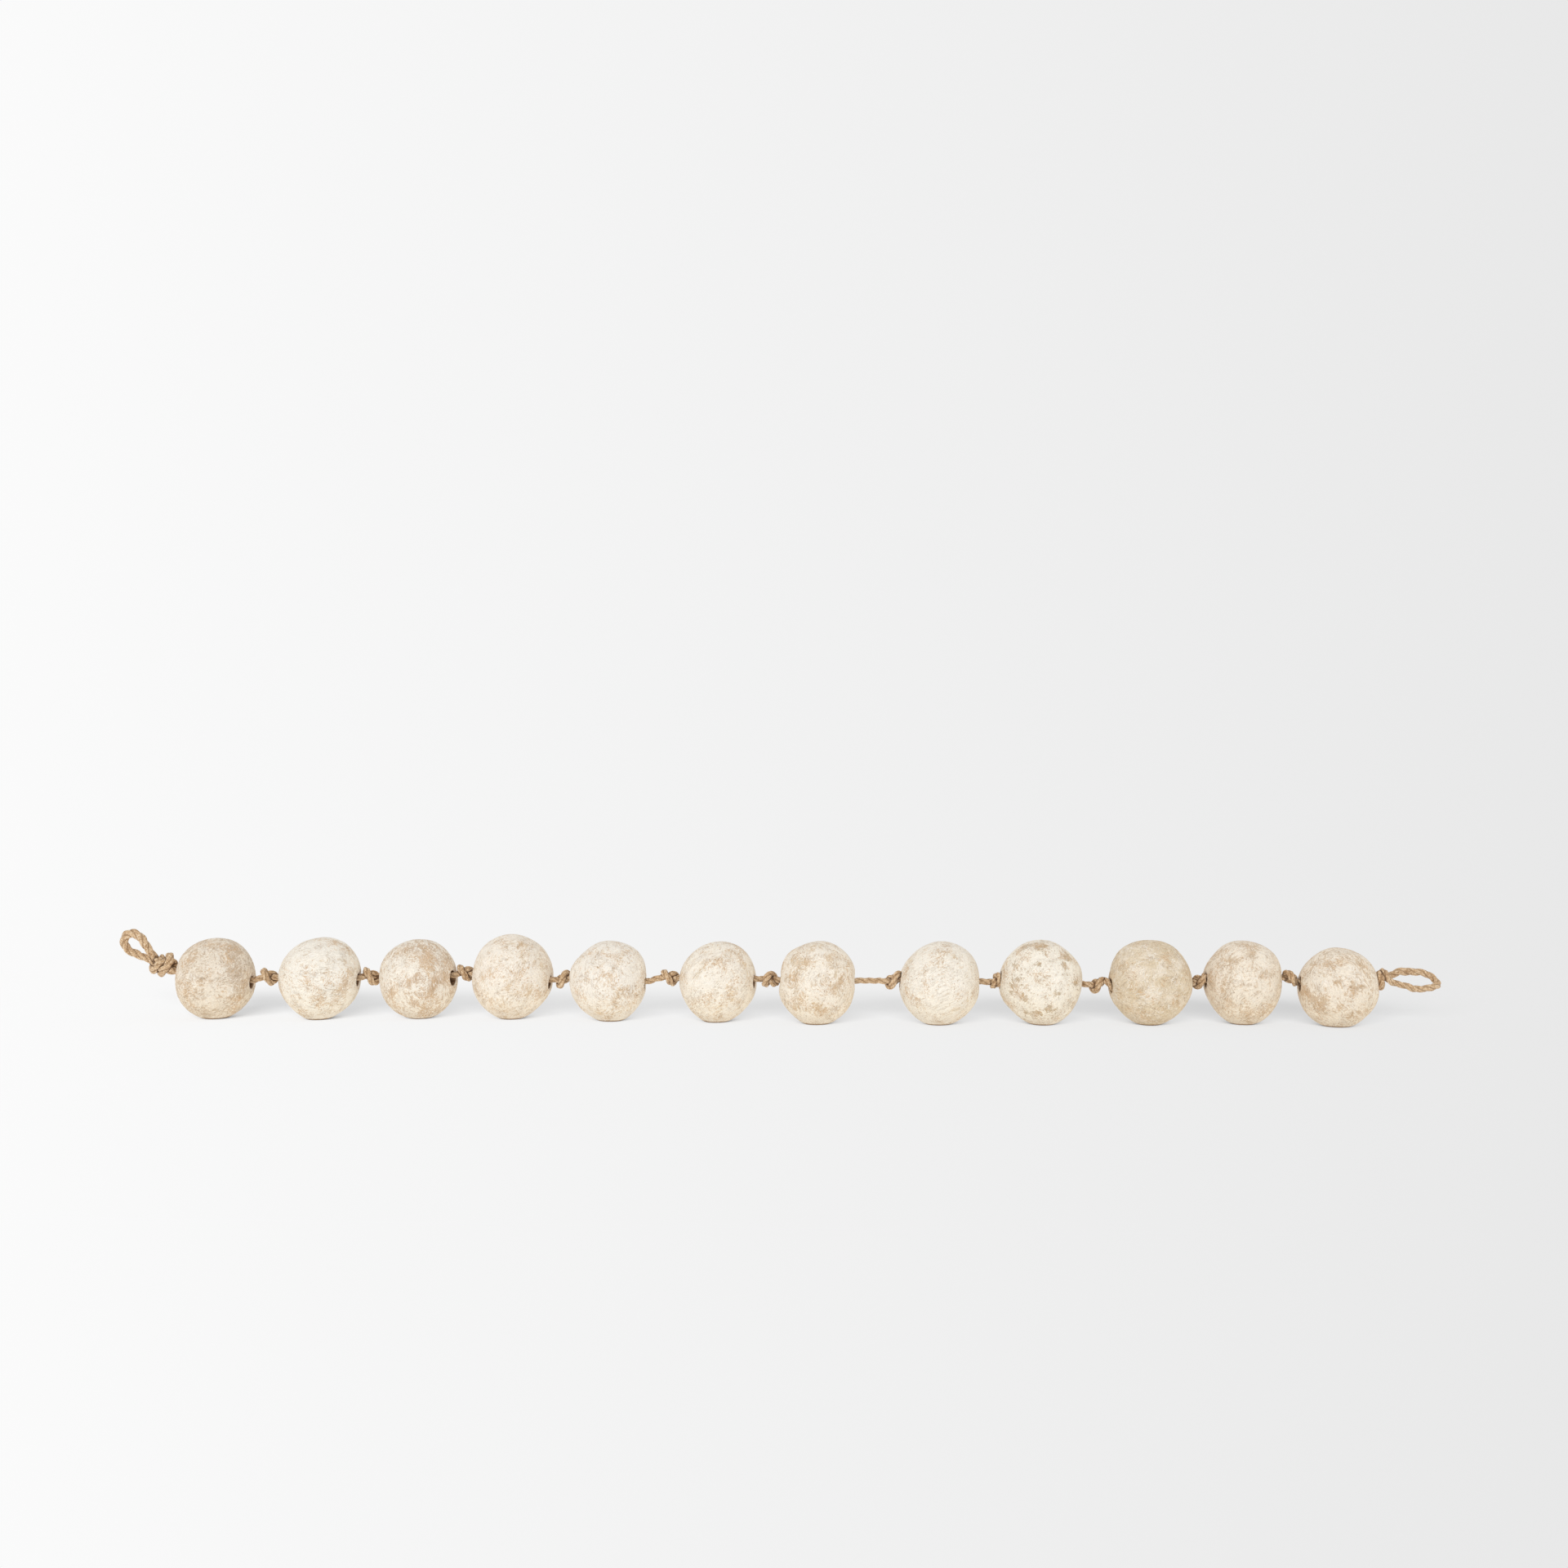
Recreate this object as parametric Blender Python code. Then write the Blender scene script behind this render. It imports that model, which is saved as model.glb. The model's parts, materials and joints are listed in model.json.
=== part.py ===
"""A garland of twelve papier-mache balls threaded on a jute cord, with a knot
between each two balls and a hanging loop at each end, lying in a row on a
flat surface.

Frame: metres, +X along the row from the left loop to the right loop, +Y away
from the viewer, +Z up. The origin is under the middle of the row, on the
surface that the balls rest on.
"""

import math

import bmesh
import bpy
from mathutils import Vector

MM = 0.001

# ---------------------------------------------------------------- sizes, mm
CORD_D = 5.6            # jute cord where it is drawn straight
LEFT_LOOP_D = 7.4       # the same cord, slack and untwisted a little, in the loops
RIGHT_LOOP_D = 6.4
HOLE_R = 7.2            # radius of the hole through each ball
LIP = 1.4               # rounding of the hole's edge
GAP = 0.4               # clearance between neighbouring pieces
ROW_SHIFT_Y = -1.05     # centres the row's depth on the origin

BALL_SIDES = 18         # facets round a ball's hole axis
BALL_BANDS = 10         # bands from one hole to the other

# One row for each ball, in mm and degrees.
#   x, y, z     centre; the surface it rests on is z = 0
#   size        mean radius
#   squash      how much shorter it is along its short axis than the mean
#   lean        the short axis's angle from +X towards +Z
#   lobe, at    height of three low swellings and where the first of them is
#   left, right (y, z) of each hole's centre, from the ball's centre
BALL_COLUMNS = ("x", "y", "z", "size", "squash", "lean", "lobe", "at", "left", "right")
BALLS = (
    (-517.4, -3.7, 36.7, 37.1, 0.9, 0, 0.2, 45, (2.0, 7.5), (-0.5, -3.6)),
    (-417.7, -3.7, 37.8, 37.8, 0.7, -19, 0.6, 33, (-1.0, 1.0), (0.5, -1.6)),
    (-328.1, 7.7, 36.3, 36.6, 0.7, 10, 0.3, 54, (4.5, 0.5), (-6.0, 1.6)),
    (-239.5, 9.2, 38.9, 38.5, 1.1, -7, 0.4, 13, (1.0, 2.5), (-3.0, -5.0)),
    (-147.0, 1.1, 36.5, 36.4, 0.9, -12, 1.0, 49, (0.0, 2.0), (0.5, -3.0)),
    (-44.9, -0.6, 36.5, 36.2, 1.3, -15, 0.6, 27, (2.5, 1.5), (-4.5, 0.5)),
    (46.3, -8.5, 36.8, 36.9, 1.3, -10, 0.6, 46, (-1.0, 2.0), (1.5, 2.5)),
    (158.8, -7.8, 37.1, 37.4, 1.2, -28, 0.2, 31, (-1.5, 3.8), (0.5, 0.5)),
    (250.6, -2.4, 37.7, 37.9, 0.6, 2, 0.4, 41, (-2.0, 2.6), (1.0, -1.5)),
    (349.4, 1.5, 38.0, 38.1, 0.6, 2, 0.4, 26, (-4.5, -3.2), (2.0, 0.0)),
    (434.9, 8.6, 38.1, 36.5, 1.9, -6, 0.7, 33, (-2.5, 1.6), (1.5, 3.5)),
    (517.7, -1.3, 34.6, 35.6, 0.7, -36, 0.2, 13, (0.5, 3.0), (0.5, 7.5)),
)

# One row for each knot between two balls, in mm and degrees.
#   start, end  x of its left and right face
#   y           centre
#   z_in, z_out height of the cord where it comes in and goes out
#   z, tall     middle height and height over all
#   lean        the main turn's angle from upright, positive leaning right
KNOT_COLUMNS = ("start", "end", "y", "z_in", "z_out", "z", "tall", "lean")
KNOTS = (
    (-473.0, -457.4, -3.7, 37.4, 38.6, 38.6, 17.0, -24),
    (-379.6, -366.0, 2.0, 40.0, 38.0, 38.8, 18.2, -32),
    (-290.4, -278.4, 8.4, 43.2, 41.0, 41.8, 16.6, -24),
    (-197.6, -184.2, 5.1, 37.0, 38.0, 36.8, 18.2, 30),
    (-98.4, -81.6, 0.3, 39.7, 39.4, 39.5, 16.4, -26),
    (-4.6, 9.4, -4.5, 40.0, 39.0, 39.4, 15.6, 8),
    (108.4, 121.4, -8.2, 38.8, 40.6, 39.4, 18.0, 36),
    (204.2, 212.4, -5.1, 38.2, 39.8, 39.4, 15.8, 0),
    (294.6, 311.2, -0.4, 36.0, 35.4, 35.4, 15.8, 34),
    (388.4, 398.9, 5.0, 36.8, 39.4, 38.9, 15.8, 26),
    (469.6, 481.6, 3.6, 42.8, 38.8, 42.4, 15.4, -10),
)

# The left end knot is two lobes of doubled cord, the right end knot one.
#   x, y, z     centre, mm
#   long, wide, deep    half sizes along its own slope, across it and in depth
#   slope       angle of "long" from +X towards +Z, degrees
LOBE_COLUMNS = ("x", "y", "z", "long", "wide", "deep", "slope")
LEFT_LOBES = (
    (-560.8, -1.8, 50.6, 8.2, 9.8, 8.6, 10),
    (-561.2, -2.2, 44.0, 9.6, 4.8, 7.6, -32),
    (-570.2, -1.6, 49.4, 9.0, 6.8, 7.4, -28),
)
RIGHT_LOBES = (
    (556.2, -0.8, 42.6, 4.6, 9.6, 8.2, 7),
    (559.2, -0.8, 41.0, 4.8, 6.8, 7.4, 0),
)

# Where the doubled cord of each hanging loop runs, mm: out along one leg,
# round the eye and back along the other.
ROUTE_COLUMNS = ("x", "y", "z")
LEFT_LOOP = (
    (-577.2, -4.5, 59.0),
    (-581.8, -4.0, 65.3),
    (-585.0, -3.4, 70.0),
    (-588.5, -2.8, 74.0),
    (-592.6, -2.2, 77.1),
    (-598.0, -1.4, 78.4),
    (-602.4, -0.6, 77.0),
    (-605.3, 0.2, 74.0),
    (-606.3, 0.9, 70.6),
    (-605.8, 1.5, 66.9),
    (-603.8, 2.0, 63.6),
    (-600.4, 2.3, 61.0),
    (-595.5, 2.5, 58.6),
    (-590.2, 2.6, 56.4),
    (-584.6, 2.6, 54.4),
    (-581.6, 2.6, 53.2),
)
RIGHT_LOOP = (
    (566.2, 3.8, 45.1),
    (570.3, 4.2, 47.2),
    (574.1, 4.8, 48.5),
    (579.3, 5.4, 48.8),
    (584.5, 5.8, 48.4),
    (591.8, 6.2, 48.2),
    (596.1, 6.3, 47.3),
    (600.3, 6.0, 45.6),
    (604.0, 5.0, 42.9),
    (606.3, 2.8, 40.0),
    (606.6, -0.6, 38.0),
    (604.2, -4.0, 36.8),
    (601.0, -5.6, 36.2),
    (597.9, -6.4, 35.5),
    (593.5, -6.8, 34.7),
    (587.8, -6.8, 34.1),
    (583.6, -6.6, 34.5),
    (579.5, -6.2, 35.9),
    (575.3, -5.8, 37.2),
    (571.1, -5.4, 38.1),
    (566.4, -5.0, 39.1),
)

PAPER_TONES = {
    "beige": (0.66, 0.55, 0.41),
    "cream": (0.76, 0.68, 0.55),
    "pale": (0.82, 0.76, 0.66),
    "khaki": (0.60, 0.50, 0.36),
}
BALL_TONES = (
    "beige", "pale", "cream", "cream", "pale", "cream",
    "beige", "pale", "pale", "khaki", "beige", "cream",
)
JUTE = (0.46, 0.31, 0.16)


def rows(columns, table):
    """Each row of a table as a dictionary of its named columns."""
    return [dict(zip(columns, row)) for row in table]


# ------------------------------------------------------------ scene helpers
def clear_scene():
    for obj in list(bpy.data.objects):
        bpy.data.objects.remove(obj, do_unlink=True)


def finish_material(name, colour, roughness):
    material = bpy.data.materials.new(name)
    material.use_nodes = True
    shader = material.node_tree.nodes["Principled BSDF"]
    shader.inputs["Base Color"].default_value = (*colour, 1.0)
    shader.inputs["Roughness"].default_value = roughness
    shader.inputs["Metallic"].default_value = 0.0
    return material


def add_object(name, data, material):
    obj = bpy.data.objects.new(name, data)
    data.materials.append(material)
    bpy.context.scene.collection.objects.link(obj)
    return obj


def mesh_object(name, points, faces, material, rest_on_floor=False):
    """An object from points in mm. It may be cut flat at z = 0 where it rests."""
    mesh = bpy.data.meshes.new(name)
    mesh.from_pydata([Vector(p) * MM for p in points], [], faces)
    bm = bmesh.new()
    bm.from_mesh(mesh)
    if rest_on_floor:
        cut = bmesh.ops.bisect_plane(
            bm,
            geom=bm.verts[:] + bm.edges[:] + bm.faces[:],
            dist=1e-7,
            plane_co=(0, 0, 0),
            plane_no=(0, 0, -1),
            clear_outer=True,
        )
        rim = [e for e in cut["geom_cut"] if isinstance(e, bmesh.types.BMEdge)]
        for vert in {v for e in rim for v in e.verts}:
            vert.co.z = 0.0
        bmesh.ops.edgeloop_fill(bm, edges=rim)
    bmesh.ops.recalc_face_normals(bm, faces=bm.faces[:])
    bm.to_mesh(mesh)
    bm.free()
    mesh.shade_smooth()
    mesh.set_sharp_from_angle(angle=math.radians(40))
    return add_object(name, mesh, material)


# --------------------------------------------------------------------- balls
def ball_radius(ball, n):
    """Distance from a ball's centre to its skin in the unit direction n."""
    lean = math.radians(ball["lean"])
    along = n.x * math.cos(lean) + n.z * math.sin(lean)
    short = ball["size"] - ball["squash"]
    tall = ball["size"] + ball["squash"]
    oval = 1.0 / math.sqrt((along / short) ** 2 + (1.0 - along * along) / tall**2)
    facing = math.hypot(n.x, n.z)
    turn = math.atan2(n.z, n.x) - math.radians(ball["at"])
    return oval + ball["lobe"] * facing**3 * math.cos(3 * turn)


def hole_direction(ball, side):
    """Unit direction from the centre to the middle of one hole's mouth."""
    dy, dz = ball["right" if side > 0 else "left"]
    reach = ball["size"] - ball["squash"]
    return Vector((side * math.sqrt(reach**2 - dy**2 - dz**2), dy, dz)) / reach


def ball_points(ball, sides, bands):
    """Rings from the right hole over the outside to the left hole, then back
    along the hole's wall, as a closed tube of quads."""
    centre = Vector((ball["x"], ball["y"] + ROW_SHIFT_Y, ball["z"]))
    right, left = hole_direction(ball, 1), hole_direction(ball, -1)
    mouth = math.asin((HOLE_R + LIP) / ball["size"])
    rings = []
    for band in range(bands + 1):
        polar = mouth + (math.pi - 2 * mouth) * band / bands
        to_right = ((1 + math.cos(polar)) / 2) ** 2
        to_left = ((1 - math.cos(polar)) / 2) ** 2
        shift = to_right * (right - Vector((1, 0, 0))) + to_left * (left + Vector((1, 0, 0)))
        ring = []
        for side in range(sides):
            turn = 2 * math.pi * side / sides
            n = Vector((
                math.cos(polar),
                math.sin(polar) * math.cos(turn),
                math.sin(polar) * math.sin(turn),
            ))
            n = (n + shift).normalized()
            ring.append(centre + ball_radius(ball, n) * n)
        rings.append(ring)
    # The wall of the hole starts one lip below each mouth.
    for outer, inward in ((rings[bands], -left), (rings[0], -right)):
        middle = sum(outer, Vector()) / sides
        rings.append([
            middle + (p - middle) * (HOLE_R / (p - middle).length) + inward * LIP
            for p in outer
        ])
    points = [p for ring in rings for p in ring]
    faces = []
    for k in range(len(rings)):
        k_next = (k + 1) % len(rings)
        for side in range(sides):
            s_next = (side + 1) % sides
            faces.append((
                k * sides + side,
                k_next * sides + side,
                k_next * sides + s_next,
                k * sides + s_next,
            ))
    return points, faces


def hole_at(ball, side):
    """The middle of one hole's mouth, in mm."""
    n = hole_direction(ball, side)
    centre = Vector((ball["x"], ball["y"] + ROW_SHIFT_Y, ball["z"]))
    return centre + ball_radius(ball, n) * n


# --------------------------------------------------------------------- knots
def lobe_exit(origin, direction, lobe):
    """How far a ray from origin runs before it leaves an ellipsoidal lobe."""
    slope = math.radians(lobe["slope"])
    c, s = math.cos(slope), math.sin(slope)

    def own(v):
        return Vector((
            (v.x * c + v.z * s) / lobe["long"],
            v.y / lobe["deep"],
            (-v.x * s + v.z * c) / lobe["wide"],
        ))

    o = own(origin - Vector((lobe["x"], lobe["y"] + ROW_SHIFT_Y, lobe["z"])))
    d = own(direction)
    a, b, k = d.dot(d), o.dot(d), o.dot(o) - 1.0
    root = b * b - a * k
    return (-b + math.sqrt(root)) / a if root > 0 else 0.0


def knot_object(name, lobes, start, end, material, sides=12, bands=8):
    """One closed lump of overlapping lobes, with flat faces at start and end."""
    origin = Vector((
        min(max(sum(l["x"] for l in lobes) / len(lobes), start + 2), end - 2),
        sum(l["y"] for l in lobes) / len(lobes) + ROW_SHIFT_Y,
        sum(l["z"] for l in lobes) / len(lobes),
    ))

    def point(n):
        reach = max(lobe_exit(origin, n, lobe) for lobe in lobes)
        if n.x > 1e-6:
            reach = min(reach, (end - origin.x) / n.x)
        elif n.x < -1e-6:
            reach = min(reach, (start - origin.x) / n.x)
        return origin + reach * n

    points = [point(Vector((1, 0, 0)))]
    for band in range(1, bands):
        polar = math.pi * band / bands
        for side in range(sides):
            turn = 2 * math.pi * side / sides
            points.append(point(Vector((
                math.cos(polar),
                math.sin(polar) * math.cos(turn),
                math.sin(polar) * math.sin(turn),
            ))))
    points.append(point(Vector((-1, 0, 0))))
    last = len(points) - 1
    faces = []
    for side in range(sides):
        s_next = (side + 1) % sides
        faces.append((0, 1 + side, 1 + s_next))
        base = 1 + (bands - 2) * sides
        faces.append((last, base + s_next, base + side))
        for band in range(bands - 2):
            a = 1 + band * sides
            b = a + sides
            faces.append((a + side, b + side, b + s_next, a + s_next))
    return mesh_object(name, points, faces, material)


def knot_lobes(knot):
    """The main turn, leaning, and the turn behind it."""
    long = knot["end"] - knot["start"]
    middle = (knot["start"] + knot["end"]) / 2
    turn = {
        "x": middle - 0.08 * long, "y": knot["y"], "z": knot["z"],
        "long": 0.36 * long, "wide": 0.5 * knot["tall"] / math.cos(math.radians(knot["lean"]) * 0.8),
        "deep": 7.8, "slope": -knot["lean"],
    }
    behind = {
        "x": middle + 0.06 * long, "y": knot["y"] + 0.6, "z": (knot["z"] + knot["z_out"]) / 2,
        "long": 0.5 * long, "wide": 0.40 * knot["tall"],
        "deep": 7.2, "slope": 0,
    }
    return [turn, behind]


# --------------------------------------------------------------------- cords
def smooth_route(route, spacing):
    """Points evenly spaced along a smooth curve through the route's points."""
    ends = [route[0] * 2 - route[1]] + route + [route[-1] * 2 - route[-2]]
    fine = []
    for p0, p1, p2, p3 in zip(ends, ends[1:], ends[2:], ends[3:]):
        for step in range(24):
            t = step / 24
            fine.append(0.5 * (
                2 * p1 + (p2 - p0) * t + (2 * p0 - 5 * p1 + 4 * p2 - p3) * t * t
                + (3 * p1 - p0 - 3 * p2 + p3) * t * t * t
            ))
    fine.append(route[-1].copy())
    run = [0.0]
    for a, b in zip(fine, fine[1:]):
        run.append(run[-1] + (b - a).length)
    count = max(3, round(run[-1] / spacing) + 1)
    points, k = [], 0
    for i in range(count):
        want = run[-1] * i / (count - 1)
        while k < len(run) - 2 and run[k + 1] < want:
            k += 1
        share = (want - run[k]) / max(run[k + 1] - run[k], 1e-9)
        points.append(fine[k].lerp(fine[k + 1], min(max(share, 0.0), 1.0)))
    return points


def cord_object(name, route, diameter, spacing, material):
    """A plain tube along a route in mm, with closed ends."""
    curve = bpy.data.curves.new(name, "CURVE")
    curve.dimensions = "3D"
    curve.bevel_depth = diameter / 2 * MM
    curve.bevel_resolution = 2
    curve.use_fill_caps = True
    points = smooth_route(route, spacing)
    spline = curve.splines.new("POLY")
    spline.points.add(len(points) - 1)
    for target, p in zip(spline.points, points):
        target.co = (*(p * MM), 1.0)
    spline.use_smooth = True
    return add_object(name, curve, material)


def stretch_route(ball, start, end):
    """From a knot on the left, through the ball's hole, to the knot on the
    right, kept inside the hole and drawn nearly straight."""
    left, right = hole_at(ball, -1), hole_at(ball, 1)
    play = HOLE_R - CORD_D / 2 - 0.9

    def inside(mouth, share):
        line = start.lerp(end, share)
        off = Vector((0, line.y - mouth.y, line.z - mouth.z))
        if off.length > play:
            off *= play / off.length
        return Vector((mouth.x, mouth.y + off.y, mouth.z + off.z))

    reach = end.x - start.x
    a = inside(left, (left.x - start.x) / reach)
    b = inside(right, (right.x - start.x) / reach)
    # A knot drawn up to a hole leaves the cord in the hole right up to it.
    route = [start, a] if a.x - start.x > 4.0 else [Vector((start.x, a.y, a.z))]
    for share in (0.25, 0.5, 0.75):
        route.append(a.lerp(b, share))
    route += [b, end] if end.x - b.x > 4.0 else [Vector((end.x, b.y, b.z))]
    return route


def build():
    clear_scene()
    balls = rows(BALL_COLUMNS, BALLS)
    knots = rows(KNOT_COLUMNS, KNOTS)
    left_lobes = rows(LOBE_COLUMNS, LEFT_LOBES)
    right_lobes = rows(LOBE_COLUMNS, RIGHT_LOBES)
    jute = finish_material("jute", JUTE, 0.95)

    for number, ball in enumerate(balls, 1):
        paper = finish_material(
            f"paper_{number:02d}", PAPER_TONES[BALL_TONES[number - 1]], 0.9
        )
        points, faces = ball_points(ball, BALL_SIDES, BALL_BANDS)
        mesh_object(f"ball_{number:02d}", points, faces, paper, rest_on_floor=True)

    for number, knot in enumerate(knots, 1):
        knot_object(f"knot_{number:02d}", knot_lobes(knot), knot["start"], knot["end"], jute)

    first, last = hole_at(balls[0], -1), hole_at(balls[-1], 1)
    knot_object("knot_left", left_lobes, -579.4, first.x - 1.0, jute)
    knot_object("knot_right", right_lobes, last.x + 1.0, 564.4, jute)

    # The cord comes out of each knot's right face and goes into the next
    # knot's left face. The end stretches start and stop at the end knots.
    starts = [Vector((first.x - 1.0 + GAP, first.y, first.z))]
    ends = []
    for knot in knots:
        y = knot["y"] + ROW_SHIFT_Y
        ends.append(Vector((knot["start"] - GAP, y, knot["z_in"])))
        starts.append(Vector((knot["end"] + GAP, y, knot["z_out"])))
    ends.append(Vector((last.x + 1.0 - GAP, last.y, last.z)))
    for number, (ball, start, end) in enumerate(zip(balls, starts, ends), 1):
        cord_object(
            f"cord_{number:02d}", stretch_route(ball, start, end), CORD_D, 2.5 * CORD_D, jute
        )

    for name, table, diameter in (
        ("loop_left", LEFT_LOOP, LEFT_LOOP_D),
        ("loop_right", RIGHT_LOOP, RIGHT_LOOP_D),
    ):
        route = [
            Vector((p["x"], p["y"] + ROW_SHIFT_Y, p["z"]))
            for p in rows(ROUTE_COLUMNS, table)
        ]
        cord_object(name, route, diameter, 0.7 * diameter, jute)


build()
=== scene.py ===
"""The looks of a garland of twelve papier-mache balls on a knotted jute cord.

Everything is worked out in millimetres in the garland's own frame (+X along
the row, +Y away from the viewer, +Z up) and made in metres.
"""

import json
import math

import bpy
import numpy as np
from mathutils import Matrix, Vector


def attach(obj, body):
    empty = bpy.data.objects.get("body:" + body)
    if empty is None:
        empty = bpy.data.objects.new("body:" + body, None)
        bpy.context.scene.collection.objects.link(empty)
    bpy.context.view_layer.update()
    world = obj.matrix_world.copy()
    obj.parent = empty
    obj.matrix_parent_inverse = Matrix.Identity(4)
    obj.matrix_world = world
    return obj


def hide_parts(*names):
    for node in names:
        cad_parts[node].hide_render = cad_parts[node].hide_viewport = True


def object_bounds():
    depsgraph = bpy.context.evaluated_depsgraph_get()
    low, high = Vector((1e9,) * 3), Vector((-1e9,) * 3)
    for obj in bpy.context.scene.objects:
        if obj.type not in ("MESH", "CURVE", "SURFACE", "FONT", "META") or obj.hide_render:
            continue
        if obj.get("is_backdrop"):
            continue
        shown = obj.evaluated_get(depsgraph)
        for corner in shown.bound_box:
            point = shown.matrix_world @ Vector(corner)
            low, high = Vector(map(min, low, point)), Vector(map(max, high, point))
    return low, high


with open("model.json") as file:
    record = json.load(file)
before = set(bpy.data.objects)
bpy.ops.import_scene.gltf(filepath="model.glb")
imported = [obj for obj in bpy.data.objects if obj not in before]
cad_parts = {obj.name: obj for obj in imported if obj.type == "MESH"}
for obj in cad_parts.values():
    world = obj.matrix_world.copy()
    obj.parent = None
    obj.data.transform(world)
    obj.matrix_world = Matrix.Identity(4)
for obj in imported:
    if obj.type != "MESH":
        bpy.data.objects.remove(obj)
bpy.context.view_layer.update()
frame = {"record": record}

MM = 0.001
PI = math.pi

# ===================================================================== camera
CAMERA_AT = (0.10558, -1.60325, 0.2186)
camera_data = bpy.data.cameras.new("camera")
camera_data.lens = 40.0
camera_data.sensor_width = 36.0
camera = bpy.data.objects.new("camera", camera_data)
bpy.context.scene.collection.objects.link(camera)
camera.location = CAMERA_AT
camera.rotation_euler = (math.radians(90.0), 0.0, math.radians(3.2))
bpy.context.scene.camera = camera

# ===================================================================== tables
CORD_D = 5.6
KNOT_D = 6.3        # the cord as it bulges in the knots
MOUTH_FREE = 6.0
LEFT_LOOP_D = 7.4
RIGHT_LOOP_D = 6.4
HOLE_R = 7.2
LIP = 1.4
GAP = 0.4
ROW_SHIFT_Y = -1.05

BALL_COLUMNS = ("x", "y", "z", "size", "squash", "lean", "lobe", "at", "left", "right")
BALLS = (
    (-517.4, -3.7, 36.7, 37.1, 0.9, 0, 0.2, 45, (2.0, 7.5), (-0.5, -3.6)),
    (-417.7, -3.7, 37.8, 37.8, 0.7, -19, 0.6, 33, (-1.0, 1.0), (0.5, -1.6)),
    (-328.1, 7.7, 36.3, 36.6, 0.7, 10, 0.3, 54, (4.5, 0.5), (-6.0, 1.6)),
    (-239.5, 9.2, 38.9, 38.5, 1.1, -7, 0.4, 13, (1.0, 2.5), (-3.0, -5.0)),
    (-147.0, 1.1, 36.5, 36.4, 0.9, -12, 1.0, 49, (0.0, 2.0), (0.5, -3.0)),
    (-44.9, -0.6, 36.5, 36.2, 1.3, -15, 0.6, 27, (2.5, 1.5), (-4.5, 0.5)),
    (46.3, -8.5, 36.8, 36.9, 1.3, -10, 0.6, 46, (-1.0, 2.0), (1.5, 2.5)),
    (158.8, -7.8, 37.1, 37.4, 1.2, -28, 0.2, 31, (-1.5, 3.8), (0.5, 0.5)),
    (250.6, -2.4, 37.7, 37.9, 0.6, 2, 0.4, 41, (-2.0, 2.6), (1.0, -1.5)),
    (349.4, 1.5, 38.0, 38.1, 0.6, 2, 0.4, 26, (-4.5, -3.2), (2.0, 0.0)),
    (434.9, 8.6, 38.1, 36.5, 1.9, -6, 0.7, 33, (-2.5, 1.6), (1.5, 3.5)),
    (517.7, -1.3, 34.6, 35.6, 0.7, -36, 0.2, 13, (0.5, 3.0), (0.5, 7.5)),
)

KNOT_COLUMNS = ("start", "end", "y", "z_in", "z_out", "z", "tall", "lean")
KNOTS = (
    (-473.0, -457.4, -3.7, 37.4, 38.6, 38.6, 17.0, -24),
    (-379.6, -366.0, 2.0, 40.0, 38.0, 38.8, 18.2, -32),
    (-290.4, -278.4, 8.4, 43.2, 41.0, 41.8, 16.6, -24),
    (-197.6, -184.2, 5.1, 37.0, 38.0, 36.8, 18.2, 30),
    (-98.4, -81.6, 0.3, 39.7, 39.4, 39.5, 16.4, -26),
    (-4.6, 9.4, -4.5, 40.0, 39.0, 39.4, 15.6, 8),
    (108.4, 121.4, -8.2, 38.8, 40.6, 39.4, 18.0, 36),
    (204.2, 212.4, -5.1, 38.2, 39.8, 39.4, 15.8, 0),
    (294.6, 311.2, -0.4, 36.0, 35.4, 35.4, 15.8, 34),
    (388.4, 398.9, 5.0, 36.8, 39.4, 38.9, 15.8, 26),
    (469.6, 481.6, 3.6, 42.8, 38.8, 42.4, 15.4, -10),
)
# Where the cord's turns start and end, a little into the next hole's mouth,
# which hand each knot has, 1 or -1, its roll about the cord in tenths of a turn
# and how far above the hole's middle the cord leaves it.
KNOT_LAY = (
    (-473.8, -458.3, 1, 6.0, 0.0), (-379.2, -362.6, 1, 5.4, 0.0), (-290.8, -275.0, 1, 6.2, 0.0),
    (-197.8, -182.9, -1, 5.2, 0.0), (-98.9, -80.4, 1, 6.2, 0.0), (-4.3, 11.7, -1, 2.5, 0.0),
    (108.2, 125.6, -1, 5.3, 0.0), (204.2, 215.6, 1, 1.0, 0.0), (294.8, 309.6, -1, 5.6, 5.6),
    (388.0, 402.8, -1, 6.0, 0.0), (469.4, 484.8, 1, 4.6, 0.0),
)
# The radius of each ball's hole as it shows, left and right.
MOUTHS = (
    (6.0, 5.3), (6.2, 5.5), (6.0, 6.8), (6.0, 5.8), (6.0, 5.2), (6.2, 5.4),
    (6.0, 5.2), (6.8, 5.2), (7.0, 5.2), (6.3, 5.6), (6.2, 5.8), (6.4, 5.8),
)

LEFT_LOOP = (
    (-577.2, -4.5, 59.0), (-581.8, -4.0, 65.3), (-585.0, -3.4, 70.0),
    (-588.5, -2.8, 74.0), (-592.6, -2.2, 77.1), (-598.0, -1.4, 78.4),
    (-602.4, -0.6, 77.0), (-605.3, 0.2, 74.0), (-606.3, 0.9, 70.6),
    (-605.8, 1.5, 66.9), (-603.8, 2.0, 63.6), (-600.4, 2.3, 61.0),
    (-595.5, 2.5, 58.6), (-590.2, 2.6, 56.4), (-584.6, 2.6, 54.4),
    (-581.6, 2.6, 53.2),
)
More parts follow.
